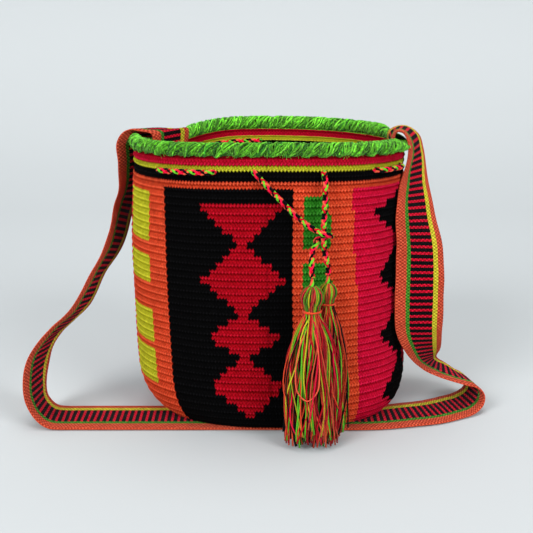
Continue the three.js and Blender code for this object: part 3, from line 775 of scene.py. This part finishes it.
def makeWall():
    c = crochet
    columns = 2 * c["stitches"]
    across = np.arange(columns) / 2
    leg = np.arange(columns) % 2 - 0.5
    rings, grooves, uv = [], [], []
    for k in range(c["baseRounds"]):
        ring, groove = baseRound(k, wallPoint(stitchPlaces, 0, 0))
        ring[:, 2] += c["baseLift"]
        rings.append(liftOverStrap(ring, 0))
        grooves.append(groove)
        uv.append(patternPlace(across, (k - c["baseRounds"]) / 2))
    for k in range(2 * rowTotal + 1):
        row, phase = k / 2, k % 4
        height = rowLine(row)
        angle = stitchPlaces + stitchStep * c["slant"] * (abs(row % 2 - 1) - 0.5) * 2
        zigzag = -c["tooth"] * (c["ridgeTooth"] if k % 2 else 1) * leg * 2
        if k in (0, 2 * rowTotal):
            zigzag = zigzag * 0
        drift = rng.normal(0, c["drift"], columns)
        out = c["row"][phase] + c["stitchSwell"] * leg * 2 + drift
        if k < 4:
            out = out - c["footPull"]
        out = out + wallWaves(stitchPlaces, height) + gatherAt(height)
        ring = wallPoint(angle, height, out)
        raised = ring[:, 2] + zigzag * smooth(height, 0.0, 0.02) + drift * 0.6
        ring[:, 2] = np.maximum(raised, c["lowest"])
        rings.append(liftOverStrap(ring, height))
        # painted shade: dark in the grooves, light on the ridges, and one leg of each stitch
        # painted lighter than the other
        shade = c["groove"][phase] + c["stitchShade"] * leg
        grooves.append(np.clip(shade + rng.normal(0, c["shadeDrift"], columns), 0, 1))
        uv.append(patternPlace(across, row))
    rings.append(wallCrown(stitchPlaces))
    # the last round, under the edging, takes painted shade
    grooves.append(np.full(columns, c["crownGroove"]))
    uv.append(patternPlace(across, rowTotal + 0.5))
    wall = makeObject("crochet_wall", np.vstack(rings), roundFaces(len(rings), columns),
                      wallTones(len(rings) - 1), np.concatenate(grooves), np.vstack(uv))
    finish(wall, "crochetCotton", "bag", "bag_body")


def wallTones(ringFaces):
    stitches = crochet["stitches"]
    shades = rng.normal(1, crochet["dyeDrift"], (rowTotal + 1, stitches))
    tones = np.ones((ringFaces, 2 * stitches, 4))
    for k in range(ringFaces):
        if k < crochet["baseRounds"]:
            tones[k] = baseDye(k)
            continue
        row = min((k - crochet["baseRounds"]) // 2, rowTotal - 1)
        # painted shade: the rounds under the edging are darkened
        shaded = crochet["ringShade"] if row >= rowTotal - ringRows else 1
        for stitch in range(stitches):
            dye = yarnDyes[tonePlan[row][stitch]] * shades[row, stitch] * shaded
            tones[k, 2 * stitch:2 * stitch + 2] = dye
    tones[..., 3] = 1
    return tones.reshape(-1, 4)


# The bag's floor rises over the strap that runs under it
def floorRise(y, height):
    ramp = 1 - smooth(y, liningShape["riseFrom"], liningShape["riseTo"])
    fall = np.maximum(0, 1 - (height - bagShape["base"]) / bagShape["cornerHeight"])
    return liningShape["rise"] * ramp * fall


# Inner face of the wall, the wrong side of the same stitches
def makeLining():
    shape, columns = liningShape, crochet["stitches"]
    angles, across = stitchPlaces[1::2], np.arange(crochet["stitches"])
    firstRow = shape["firstRow"]
    rings, grooves, uv, tones = [], [], [], []
    for k in range(crochet["baseRounds"]):
        outline = wallPoint(angles, rowLine(firstRow), -bagShape["wall"])
        ring, groove = baseRound(k, outline)
        ring[:, 2] += bagShape["base"] + floorRise(ring[:, 1], bagShape["base"])
        rings.append(ring)
        grooves.append(groove)
        uv.append(patternPlace(across, -k / 2))
        # painted shade: the floor inside the bag is darkened
        tones.append(np.tile(baseDye(k) * shape["floorShade"], (columns, 1)))
    for k in range(2 * firstRow, 2 * rowTotal + 1):
        row, phase = k / 2, (k + 1) % 4
        height = rowLine(row)
        out = -bagShape["wall"] - shape["relief"] * crochet["row"][phase]
        out = out + rng.normal(0, shape["drift"], columns)
        out = out + wallWaves(angles, height) * shape["waves"]
        ring = wallPoint(angles, height, out)
        ring[:, 2] += floorRise(ring[:, 1], height) + rng.normal(0, 0.0001, columns)
        rings.append(ring)
        grooves.append(np.full(columns, crochet["groove"][phase]))
        uv.append(patternPlace(across, row))
        if k < 2 * rowTotal:
            dyes = [yarnDyes[name] for name in tonePlan[int(row)]]
            # painted shade: the inside of the wall is darkened
            tones.append(np.array(dyes) * shape["shade"])
    rings.append(wallCrown(angles))
    # the last round, under the edging, takes painted shade
    grooves.append(np.full(columns, crochet["crownGroove"]))
    uv.append(patternPlace(across, rowTotal + 0.5))
    tones.append(np.tile(yarnDyes["leaf"], (columns, 1)))
    faces = roundFaces(len(rings), columns)[:, ::-1]
    lining = makeObject("crochet_lining", np.vstack(rings), faces, np.vstack(tones),
                        np.concatenate(grooves), np.vstack(uv))
    finish(lining, "crochetCotton", "bag", "bag_body")


makeWall()
makeLining()
print("wall and lining made")

# Edging: fans of many fine yarns laid over a core, all round the mouth.
# Lengths along the mouth are in fans, turns go round the edging's section in degrees
edging = {
    "fans": 50, "yarnsPerFan": 24, "yarnRadius": 0.00062, "yarnPoints": 15, "yarnSides": 4,
    "outRadius": 0.0050, "upRadius": 0.0059, "sideSwell": 0.0022, "sideFrom": (52, 66),
    "sideTo": (72, 84), "firstTurn": -66, "lastTurn": 246, "topTurn": 156,
    "base": 0.46, "spread": 0.42, "slant": 0.75, "leanShare": 0.4, "sway": 0.10,
    "crest": 0.0020, "crestDrop": 0.0006, "layer": (-0.0012, 0.0017), "jitter": (-0.0005, 0.0006),
    "ripple": 0.0006, "mostSwell": 0.0016, "tuck": 0.0014, "tuckTurn": 25,
    "coreSteps": 180, "coreSides": 10, "coreSwell": -0.0013, "coreShade": 0.35,
    "hairs": 1500, "hairRadius": 0.00014, "hairTurns": (-40, 220), "hairLift": (0.0006, 0.0030),
    "hairDrift": 0.7, "hairCurl": (24, 10), "hairDye": (0.8, 1.2),
    "fanDrift": 0.05, "lean": (0.1, 0.25), "yarnDrift": 0.06, "turnDrift": 4,
    # after the random dye range: painted shade at a fan's sides, then painted light towards the
    # back of the mouth
    "thickness": (0.85, 1.3), "dye": (0.3, 1.2), "hollowShade": (0.66, 0.4), "paintedBackLight": (1.15, 0.25),
    "lightShare": (0.35, 0.3), "limeShare": 0.45, "leafShare": 0.85,
}


# A point on the edging: angle round the mouth, turn round its section (0 outwards, 90 up),
# and how far out
def edgingPoint(angle, turn, swell):
    turned = np.radians(turn)
    fluffed = edging["sideSwell"] * smooth(angle, *edging["sideFrom"])
    fluffed = fluffed * (1 - smooth(angle, *edging["sideTo"]))
    reach = edging["outRadius"] + fluffed + swell
    place = wallPoint(angle, bagShape["height"], -bagShape["wall"] / 2 + np.cos(turned) * reach)
    press = 1 - bagShape["pressed"] * pressShare(angle)
    half = edging["upRadius"] * press
    place[..., 2] += bagShape["gap"] + half + np.sin(turned) * (half + swell * press)
    return place


# One yarn of a fan, from its foot outside over the top to its foot inside
def fanYarn(centre, fanRun, lean, share, mouthRun, mouthAngles):
    e = edging
    turns = np.linspace(e["firstTurn"], e["lastTurn"], e["yarnPoints"])
    turns = turns + rng.normal(0, e["turnDrift"])
    rise = np.clip((turns - e["firstTurn"]) / e["topTurn"], 0, 2)
    opening = np.sin(np.clip(rise, 0, 1.3) / 1.3 * math.pi / 2)
    tilt = e["slant"] * (rise - 0.6) * (0.9 + 0.5 * share) + lean * e["leanShare"] * rise
    along = centre + fanRun * (share * (e["base"] + e["spread"] * opening) + tilt)
    along = along + fanRun * e["sway"] * np.sin(rise * 6 + rng.uniform(0, 6))
    upper = np.clip(np.sin(np.radians(turns)) + 0.4, 0, 1)
    crest = (e["crest"] * (1 - share ** 2) - e["crestDrop"]) * upper
    low, high = e["layer"]
    layer = low + high * max(0, 1 - abs(share)) ** 0.7 + rng.uniform(*e["jitter"])
    layer = layer + e["ripple"] * np.sin(rise * 7 + rng.uniform(0, 6))
    end = np.clip(np.minimum(turns - turns[0], turns[-1] - turns) / e["tuckTurn"], 0, 1)
    swell = np.minimum(layer + crest, e["mostSwell"]) - e["tuck"] * (1 - end)
    angle = np.interp(np.mod(along, mouthRun[-1]), mouthRun, mouthAngles)
    return edgingPoint(angle, turns, swell), float(angle[e["yarnPoints"] // 2])


def makeEdging():
    e = edging
    strands = []
    mouthAngles = np.linspace(0, 360, 1441)
    mouthRun = runAlong(wallPoint(mouthAngles, bagShape["height"], 0))
    fanRun = mouthRun[-1] / e["fans"]
    for fan in range(e["fans"]):
        centre = (fan + 0.5 + rng.normal(0, e["fanDrift"])) * fanRun
        lean = rng.normal(*e["lean"])
        for i in range(e["yarnsPerFan"]):
            share = (i + 0.5) / e["yarnsPerFan"] * 2 - 1 + rng.normal(0, e["yarnDrift"])
            line, angle = fanYarn(centre, fanRun, lean, share, mouthRun, mouthAngles)
            # painted shade and highlight: a fan's side yarns are darker, in the hollows between
            # fans, and its middle yarns more often lime
            inner = 1 - abs(share)
            light = rng.random() < e["lightShare"][0] + e["lightShare"][1] * inner
            if light and rng.random() < e["limeShare"]:
                name = "lime"
            else:
                name = "leaf" if rng.random() < e["leafShare"] else "green"
            strength = rng.uniform(*e["dye"]) * (e["hollowShade"][0] + e["hollowShade"][1] * inner)
            # painted light: the edging's yarns are lighter towards the back of the mouth and
            # darker at the front
            lit = e["paintedBackLight"][0] - e["paintedBackLight"][1] * math.cos(math.radians(angle))
            radius = e["yarnRadius"] * rng.uniform(*e["thickness"])
            strands.append((line, radius, yarnDyes[name] * strength * lit))
    steps = np.linspace(0, 1, 4)
    for i in range(e["hairs"]):
        angle, turn = rng.uniform(0, 360), rng.uniform(*e["hairTurns"])
        drift, lift = rng.normal(0, e["hairDrift"]), rng.uniform(*e["hairLift"])
        bent, waved = e["hairCurl"]
        curl = bent * steps * rng.normal(0, 1) + waved * np.sin(steps * 5 + rng.uniform(0, 6))
        line = edgingPoint(angle + drift * steps, turn + curl, lift * steps ** 0.8)
        strands.append((line, e["hairRadius"], yarnDyes["lime"] * rng.uniform(*e["hairDye"])))
    fluff = strandObject("edging_fans", strands, e["yarnSides"])
    finish(fluff, "fluffyCotton", "bag", "rim_edging")


# The edging's inside, a dark core that fills what shows between the yarns: painted shade
def makeEdgingCore():
    steps, sides = edging["coreSteps"], edging["coreSides"]
    core = edgingPoint(np.linspace(0, 360, steps + 1)[:-1, None],
                       np.arange(sides)[None] * (360 / sides), edging["coreSwell"])
    faces = roundFaces(steps, sides).tolist()
    last = (steps - 1) * sides
    faces += [[last + k, last + (k + 1) % sides, (k + 1) % sides, k] for k in range(sides)]
    # painted shade: leaf green darkened to stand for the shade between the yarns
    tones = np.tile(yarnDyes["leaf"] * edging["coreShade"], (len(faces), 1))
    uv = np.tile(np.arange(sides) * 2 * yarnPerRadian, steps)[:, None] * np.ones((1, 2))
    inside = makeObject("edging_core", core.reshape(-1, 3), faces, tones, None, uv)
    finish(inside, "fluffyCotton", "bag", "rim_edging")


makeEdging()
makeEdgingCore()
print("edging made")

# Strap: a woven band whose two ends are sewn inside the mouth
strapShape = {
    "width": 0.062, "thickness": 0.003, "overlap": 0.039, "bend": 0.016, "ripple": 0.00013,
    "legOut": 0.0069, "dentSlack": 0.004, "edgingLegOut": 0.0095, "halfTurn": 12,
    "leftNear": -93, "rightNear": 75, "fine": 30,
}
weave = {
    "period": 0.0064, "rowsPerBar": 5, "pinkRows": 2, "widthShare": 0.994, "halfMiddle": 0.00125,
    "halfEdge": 0.00085, "relief": 0.00012, "stagger": 0.00022, "ripple": 0.0004,
    # groove: painted shade, from a base value plus the weave's relief
    "groove": (0.62, 0.12), "dyeDrift": 0.05,
    # Each band: its yarn, its share of the width and its faces across
    "bands": [("bandOrange", 0.20, 8), ("bandGreen", 0.08, 3), ("bars", 0.48, 22),
              ("bandYellow", 0.10, 4), ("bandOrange", 0.14, 6)],
}
# The band's near and far edges at each station, in millimetres
strapRoute = {
    "leftSide": [
        (-138, -2, 280.5, -102, 39, 275.5), (-147, -1, 281.5, -108, 42, 277),
        (-154, -2, 278, -114, 45, 274), (-160, -3, 267, -121, 49, 264),
        (-159, -5, 248, -125, 49, 247), (-158, -10, 226, -136, 47, 222),
        (-162, -18, 208, -150, 41, 192), (-170, -34, 172, -161, 24, 157),
        (-183, -50, 146, -177, 10, 133), (-203, -64, 112, -192, -5, 103),
        (-221, -75, 96, -206, -14, 89), (-234, -83, 82, -218, -22, 79),
        (-242, -88, 68, -227, -27, 65), (-246, -92, 51, -232, -31, 50),
        (-245, -95, 33, -235, -34, 32), (-239, -97, 17, -235, -36, 15),
        (-230, -98, 6.5, -229, -38, 6)],
    "floor": [
        (-222, -99, 1, -223, -37, 1), (-212, -99, 0, -214, -37, 0), (-195, -99, 0, -195, -37, 0),
        (-130, -99, 0, -130, -37, 0), (0, -99, 0, 0, -37, 0), (98, -99, 0, 98, -37, 0),
        (132, -93, 0.6, 126, -32, 0.6), (163, -84, 0.4, 151, -23, 0.4),
        (184.4, -72, 0.3, 171.5, -12, 0.2), (200.7, -62, 2, 188.7, -2, 1),
        (210.2, -54, 9, 199.9, 6, 5), (211.1, -49, 17, 202.5, 11, 12),
        (204.2, -46, 23, 197.3, 15, 18)],
    "rightSide": [
        (193, -44, 27, 188.7, 17, 24), (177.5, -43, 31, 180.1, 17, 30),
        (162, -44, 37, 174.1, 16, 34), (147, -48, 46, 169.8, 8, 40),
        (129, -59, 66, 170, -14, 56), (117, -66, 92, 168, -33, 82),
        (115, -68, 130, 167, -37, 122), (115, -68, 174, 165, -34, 165),
        (114, -66, 214, 157, -20, 208), (119.5, -53, 240, 153, 2, 238),
        (126.5, -43, 260, 150, 16, 261), (126.3, -43, 273, 146, 19, 274),
        (121.5, -40, 283, 136, 23, 281), (116, -36, 283.5, 126, 26, 282)],
}
strapEnd = bagShape["height"] - strapShape["overlap"]
rimTop = bagShape["height"] + bagShape["gap"] + bagShape["edgingHeight"]


def bandStation(near, far):
    return near, near + (far - near) / np.linalg.norm(far - near) * strapShape["width"]


def routeStations(part, lift=0):
    middle = np.array([0, 0, lift])
    return [bandStation(np.array(row[:3]) / 1000 + middle, np.array(row[3:]) / 1000 + middle)
            for row in strapRoute[part]]


def insideStation(nearAngle, turn, height, out):
    wallHeight = min(height, bagShape["height"])
    half = turn * strapShape["halfTurn"]
    farAngle = angleAfter(nearAngle + half, wallHeight, turn * strapShape["width"]) - half
    near = wallPoint(nearAngle, wallHeight, -out)
    far = wallPoint(farAngle, wallHeight, -out)
    near[2], far[2] = height, height
    return bandStation(near, far)


# The stations inside the mouth, from the sewn end up to the rim
def insideStations(nearAngle, turn, slack):
    height = bagShape["height"]
    legOut, edgingOut = strapShape["legOut"] + slack, strapShape["edgingLegOut"] + slack
    spots = [(strapEnd, legOut), (strapEnd + strapShape["bend"], legOut),
             (height - 0.012, legOut + 0.001), (height, edgingOut), (rimTop - 0.002, edgingOut)]
    return [insideStation(nearAngle, turn, z, out) for z, out in spots]


# The band's two edges at even steps along its middle
def strapEdges(step):
    stations = [
        *insideStations(strapShape["leftNear"], -1, strapShape["dentSlack"]),
        *routeStations("leftSide"),
        *routeStations("floor", strapShape["thickness"] / 2 + strapShape["ripple"]),
        *routeStations("rightSide"),
        *insideStations(strapShape["rightNear"], 1, 0)[::-1],
    ]
    shares = np.linspace(0, 1, (len(stations) - 1) * strapShape["fine"] + 1)
    near, far = (throughPoints([s[edge] for s in stations], shares) for edge in (0, 1))
    run = runAlong((near + far) / 2)
    marks = np.arange(0, run[-1], step)
    return pointsAt(marks, run, near), pointsAt(marks, run, far), run[-1]


def makeStrap():
    w = weave
    step = w["period"] / w["rowsPerBar"]
    near, far, length = strapEdges(step)
    middle, across = (near + far) / 2, unit(far - near)
    heading = unit(np.gradient(middle, axis=0))
    normal = unit(np.cross(across, np.gradient(middle, axis=0)))
    places, bandOf = [0.0], []
    for name, share, faceCount in w["bands"]:
        start = places[-1]
        places += [start + share * (k + 1) / faceCount for k in range(faceCount)]
        bandOf += [name] * faceCount
    places = np.array(places)
    rows, columns = len(middle), len(places)
    rowIndex, columnIndex = np.arange(rows)[:, None], np.arange(columns)[None, :]

    edgeAway = np.minimum(places, 1 - places)
    edgeWay = np.clip(edgeAway / 0.05, 0, 1)
    half = w["halfEdge"] * (0.35 + 0.65 * np.sqrt(edgeWay))
    half = half + (w["halfMiddle"] - w["halfEdge"]) * smooth(edgeAway, 0.02, 0.09)
    side = (places - 0.5) * strapShape["width"] * w["widthShare"]
    relief = rng.uniform(-1, 1, (rows, columns)) * w["relief"] * edgeWay[None]
    stagger = np.where((rowIndex + columnIndex) % 2 == 0, w["stagger"], -w["stagger"])
    stagger = stagger * edgeWay[None]
    ripple = w["ripple"] * np.sin(rowIndex * 0.21) * np.sin(places[None] * 7 + rowIndex * 0.013)
    ripple = ripple * smooth(middle[:, 2], 0.008, 0.03)[:, None]
    base = (middle[:, None] + across[:, None] * side[None, :, None]
            + heading[:, None] * stagger[..., None])
    top = base + normal[:, None] * (half[None] + relief + ripple)[..., None]
    under = base - normal[:, None] * (half[None] + relief - ripple)[..., None]
    vertices = np.concatenate([top, under[:, ::-1]], axis=1).reshape(-1, 3)
    # painted shade: the weave's low places darker, its raised places lighter
    groove = w["groove"][0] + relief / w["relief"] * w["groove"][1]
    groove = np.concatenate([groove, groove[:, ::-1]], axis=1)
    uv = np.stack(np.broadcast_arrays(np.concatenate([side, side[::-1]])[None], rowIndex * step),
                  axis=-1)

    tones = np.ones((rows - 1, 2 * columns, 4))
    for k, name in enumerate(bandOf + [bandOf[-1]] + bandOf[::-1] + [bandOf[0]]):
        for row in range(rows - 1):
            bar = "bandPink" if row % w["rowsPerBar"] < w["pinkRows"] else "black"
            tones[row, k] = yarnDyes[bar if name == "bars" else name]
    tones[..., :3] *= rng.normal(1, w["dyeDrift"], tones.shape[:2])[..., None]
    faces = roundFaces(rows, 2 * columns)[:, ::-1].tolist()
    for start, order in ((0, 1), ((rows - 1) * 2 * columns, -1)):
        for k in range(columns - 1):
            after = start + 2 * columns - 1 - k
            faces.append([start + k, start + k + 1, after - 1, after][::order])
    endTones = np.tile(yarnDyes["bandOrange"], (2 * (columns - 1), 1))
    strap = makeObject("woven_strap_band", vertices, faces,
                       np.vstack([tones.reshape(-1, 4), endTones]), groove.ravel(),
                       uv.reshape(-1, 2))
    finish(strap, "wovenCotton", "bag", "strap")
    print("strap length", round(float(length), 3))


makeStrap()

# Seams: whipped stitches from the wall over the strap's end.
# Outs are counted from the wall's outer face or from the strap, rises from the strap's end
seamStitches = {
    "count": 15, "radius": 0.00075, "slant": 1.0, "points": 12, "sides": 6, "margin": 0.003,
    "wallOuts": [-0.0042, -0.0052], "legShare": 0.9, "legOuts": [-0.0012, -0.0019, -0.0008],
    "rises": [-0.0022, -0.0028, -0.0026, -0.0012, 0.0016, 0.0028],
}


def makeSeam(name, nearAngle, turn, legOut, node):
    s = seamStitches
    strands = []
    angle = angleAfter(nearAngle, strapEnd, turn * s["margin"])
    outs = [*s["wallOuts"], -legOut * s["legShare"], *(o - legOut for o in s["legOuts"])]
    for k in range(s["count"]):
        start = angle + rng.normal(0, 0.15)
        line = wallPoint(start + turn * s["slant"] * np.linspace(0, 1, 6), strapEnd, outs)
        line[:, 2] = strapEnd + np.array(s["rises"])
        line = throughPoints(line, np.linspace(0, 1, s["points"]))
        strands.append((line, s["radius"], yarnDyes["strapOrange"] * rng.uniform(0.85, 1.1)))
        along = (strapShape["width"] - 2 * s["margin"]) / s["count"]
        angle = angleAfter(angle, strapEnd, turn * along)
    finish(strandObject(name, strands, s["sides"]), "cordCotton", "bag", node)


makeSeam("seam_stitches_left", strapShape["leftNear"], -1, strapShape["legOut"] + 0.003,
         "strap_seam_left")
makeSeam("seam_stitches_right", strapShape["rightNear"], 1, strapShape["legOut"],
         "strap_seam_right")
print("strap and seams made")

# Tassels: looped yarn over the cord's end, bound at the neck, cut below.
# skirt: how far out the yarn hangs at each share of the way down
tasselYarn = {
    "radius": 0.00070, "points": 22, "sides": 5, "stray": 0.08,
    "layers": [1.0, 0.86, 0.70, 0.5], "goldenTurn": 0.618034,
    "tones": ["leaf", "lime", "yellow", "strapOrange", "salmon", "pink", "red", "black"],
    "shares": [0.07, 0.01, 0.05, 0.12, 0.25, 0.13, 0.24, 0.13],
    "headShares": [0.30, 0.08, 0.17, 0.14, 0.10, 0.09, 0.02, 0.10],
    "dye": (0.48, 0.84), "depthShade": (0.08, 0.92), "depthPower": 3.4, "outerDepth": 0.85,
    "skirt": [(0, 0.28), (0.16, 0.62), (0.36, 0.80), (0.64, 0.93), (0.9, 0.985), (1, 0.98)],
    "headPolars": (6, 28, 55, 82, 110, 134), "headGap": 0.0005, "headDrop": 0.0003,
    "neckGap": 0.0006, "skirtDrop": 0.0022, "short": 0.035, "shortShare": 0.12,
    "outerShare": 0.30, "leastSpread": 0.03, "swirl": (0.5, 0.3), "footDrift": 0.008,
    "turnDrift": 0.35, "hangDrift": 0.5, "bend": (0.0034, 0.0008), "kink": (0.0005, 0.0024),
    "beat": (5, 13), "strayReach": 0.004, "thickness": (0.85, 1.1), "cutEnds": [1.05, 1.2],
}
bindingShape = {"turns": 2.3, "points": 90, "radius": 0.00075, "out": 0.0009, "sides": 7}
# Across, towards the front and up, as shares of the skirt
strayLoop = [(-0.2, -0.55, 0.88), (-0.46, -0.75, 0.74), (-0.58, -0.9, 0.56), (-0.50, -0.98, 0.43),
             (-0.16, -1.0, 0.365), (0.18, -1.0, 0.43), (0.26, -0.98, 0.56), (0.20, -0.86, 0.74),
             (0.06, -0.6, 0.88)]


def tasselNeck(shape):
    top = tasselBuild["foot"] + shape["height"]
    neck = top - 2 * shape["head"] - tasselBuild["bindingHeight"] / 2
    return top, neck - tasselYarn["headGap"]


def tasselStrand(shape, turn, depth):
    t, head, neck = tasselYarn, shape["head"], shape["neck"]
    top, neckZ = tasselNeck(shape)
    swirl = rng.normal(0, t["swirl"][1]) + t["swirl"][0]
    line = []
    for polar in t["headPolars"]:
        turned = math.radians(polar)
        reach = (head - t["radius"]) * depth * math.sin(turned)
        fall = (head - t["headDrop"]) * (1 - math.cos(turned)) * (0.9 + 0.1 * depth)
        around = turn + swirl * (1 - polar / t["headPolars"][-1]) * 0.7
        z = top - t["headGap"] - fall
        line.append((reach * math.cos(around), reach * math.sin(around), z))
    inner = (neck - t["neckGap"]) * depth
    line.append((inner * math.cos(turn), inner * math.sin(turn), neckZ))
    skirtTop = neckZ - t["skirtDrop"]
    short = rng.uniform(0, t["short"]) if rng.random() < t["shortShare"] else 0
    footZ = tasselBuild["foot"] + abs(rng.normal(0, t["footDrift"])) + short
    outer = rng.random() < t["outerShare"]
    spread = 1.0 if outer else np.sqrt(rng.uniform(t["leastSpread"], 1))
    stray = rng.random() < t["stray"]
    away, drift = turn + rng.normal(0, t["turnDrift"]), rng.normal(0, t["hangDrift"])
    bendX, bendY = (rng.normal(0, bend) for bend in t["bend"])
    phase, kink, beat = rng.uniform(0, 6.28), rng.uniform(*t["kink"]), rng.uniform(*t["beat"])
    falls, shares = np.array(t["skirt"]).T
    for fall in np.linspace(0.07, 1, 11):
        flat = 1 + (shape["depth"] / shape["width"] - 1) * math.sqrt(min(1, fall / 0.2))
        loose = spread + (1 - spread) * 0.15 * math.sin(fall * 3.1)
        reach = np.interp(fall, falls, shares) * (shape["width"] / 2 - 0.001) * loose
        bow = math.sin(fall * math.pi)
        wave = kink * math.sin(phase + fall * beat) * min(1, fall * 4)
        around = away + drift * fall
        strayed = t["strayReach"] * fall ** 3 if stray else 0
        x = reach * math.cos(around) + bendX * bow + wave + strayed
        y = reach * flat * math.sin(around) + bendY * bow + wave * 0.3
        y = y + shape["shift"] * (1 - (1 - fall) ** 2)
        line.append((x, y, skirtTop + (footZ - skirtTop) * fall))
    line = throughPoints(line, np.linspace(0, 1, t["points"])) + (shape["x"], shape["y"], 0)
    return line, spread


# The cord's end above the head, which the joint lets swing
def tasselStem(shape):
    top, _ = tasselNeck(shape)
    end = top + tasselBuild["stem"] + tasselBuild["stemRadius"] * 0.6
    heights = np.linspace(top - 0.004, end, 12)
    taper = 1 - 0.62 * smooth(heights, top, top + tasselBuild["stem"])
    strands = []
    for k, name in enumerate(("pink", "strapOrange", "leaf", "black")):
        turn = k * math.pi / 2 + (heights - heights[0]) / cordShape["braidPitch"] * 2 * math.pi
        reach = cordShape["strandOffset"] * taper
        line = np.stack([shape["x"] + reach * np.cos(turn), shape["y"] + reach * np.sin(turn),
                         heights], axis=1)
        strands.append((line, cordShape["strandRadius"] * taper ** 0.5, yarnDyes[name]))
    return strands


def makeStrayLoop(shape):
    foot = tasselBuild["foot"]
    _, neckZ = tasselNeck(shape)
    line = [(shape["x"] + u * shape["width"] / 2,
             shape["y"] + v * shape["depth"] / 2 + shape["shift"] * (1 - w ** 2),
             foot + w * (neckZ - foot)) for u, v, w in strayLoop]
    return (throughPoints(line, np.linspace(0, 1, 40)), tasselYarn["radius"],
            yarnDyes["strapOrange"])


def makeBinding(name, shape):
    b = bindingShape
    _, neckZ = tasselNeck(shape)
    turns = np.linspace(0, 2 * math.pi * b["turns"], b["points"])
    radius = shape["neck"] + b["out"] + 0.00035 * np.sin(turns * 0.5) ** 2
    wander = np.sin(turns / turns[-1] * math.pi * 2.6)
    line = np.stack([shape["x"] + radius * np.cos(turns), shape["y"] + radius * np.sin(turns),
                     neckZ + tasselBuild["bindingHeight"] * 0.2 * wander], axis=1)
    return strandObject(f"{name}_wrap", [(line, b["radius"], yarnDyes["salmon"] * 0.8)],
                        b["sides"])


def makeTassel(name, key):
    t, shape = tasselYarn, tasselShapes[key]
    strands = tasselStem(shape)
    if key == "front":
        strands.append(makeStrayLoop(shape))
    low, high = t["depthShade"]
    for k in range(shape["strands"]):
        layer = t["layers"][k % 4]
        turn = 2 * math.pi * (k * t["goldenTurn"] + rng.uniform(-0.02, 0.02))
        line, spread = tasselStrand(shape, turn, layer)
        outer = layer == 1.0
        pick = rng.choice(len(t["tones"]), p=t["headShares" if outer else "shares"])
        depth = max(spread, t["outerDepth"]) if outer else spread
        ends = t["cutEnds"]
        thickness = np.concatenate([np.full(len(line) - len(ends), 1.0), ends])
        dye = yarnDyes[t["tones"][pick]] * rng.uniform(*t["dye"])
        # painted shade: strands that lie deep inside the tassel are darker
        dye = dye * (low + high * depth ** t["depthPower"])
        radius = t["radius"] * thickness * rng.uniform(*t["thickness"])
        strands.append((line, radius, dye))
    yarn = strandObject(f"{name}_yarns", strands, t["sides"])
    finish(yarn, "cordCotton", f"{key}_tassel", f"{name}_yarn")
    binding = makeBinding(name, shape)
    finish(binding, "cordCotton", f"{key}_tassel", f"{name}_binding")


makeTassel("tassel_front", "front")
makeTassel("tassel_rear", "rear")
print("tassels made")

# Floor, backdrop and light
stageLook = {
    "floor": (0.695, 0.712, 0.718), "roughness": 0.95, "specular": 0.1, "size": 4.0,
    "curve": [(1.0, 0.0), (1.3, 0.03), (1.6, 0.14), (1.85, 0.4), (1.95, 0.8), (2.0, 2.6)],
    "sky": (0.97, 0.98, 1.0, 1), "skyStrength": 0.55,
    # Each softbox: place, what it aims at, size and power
    "softboxes": {
        "softbox_left": ((-2.6, -3.4, 2.5), (0, 0, 0.13), 2.6, 195),
        "softbox_right": ((2.8, -3.2, 2.3), (0, 0, 0.13), 2.6, 158),
        "softbox_top": ((0, 0.4, 4.2), (0, 0, 0.1), 3.2, 85),
    },
}


def makeStage():
    material = bpy.data.materials.new("studioPaper")
    material.use_nodes = True
    feed(material.node_tree.nodes["Principled BSDF"], {
        "Base Color": (*linear(stageLook["floor"]), 1), "Roughness": stageLook["roughness"],
        "Specular IOR Level": stageLook["specular"]})
    size = stageLook["size"]
    profile = [(-size, 0.0)] + stageLook["curve"]
    vertices = [(x, y, z) for y, z in profile for x in (-size, size)]
    faces = [(2 * k, 2 * k + 1, 2 * k + 3, 2 * k + 2) for k in range(len(profile) - 1)]
    paper = makeObject("studio_paper", vertices, faces)
    paper.data.materials.append(material)


def addSoftbox(name, place, aim, size, power):
    data = bpy.data.lights.new(name, "AREA")
    data.shape = "DISK"
    data.size = size
    data.energy = power
    lamp = bpy.data.objects.new(name, data)
    lamp.location = place
    lamp.rotation_euler = (Vector(aim) - Vector(place)).to_track_quat("-Z", "Y").to_euler()
    bpy.context.scene.collection.objects.link(lamp)


makeStage()
for name, softbox in stageLook["softboxes"].items():
    addSoftbox(name, *softbox)
world = bpy.data.worlds.new("daylight")
world.use_nodes = True
feed(world.node_tree.nodes["Background"], {
    "Color": stageLook["sky"], "Strength": stageLook["skyStrength"]})
bpy.context.scene.world = world
bpy.context.scene.view_settings.view_transform = "Standard"
print("stage and lights made")
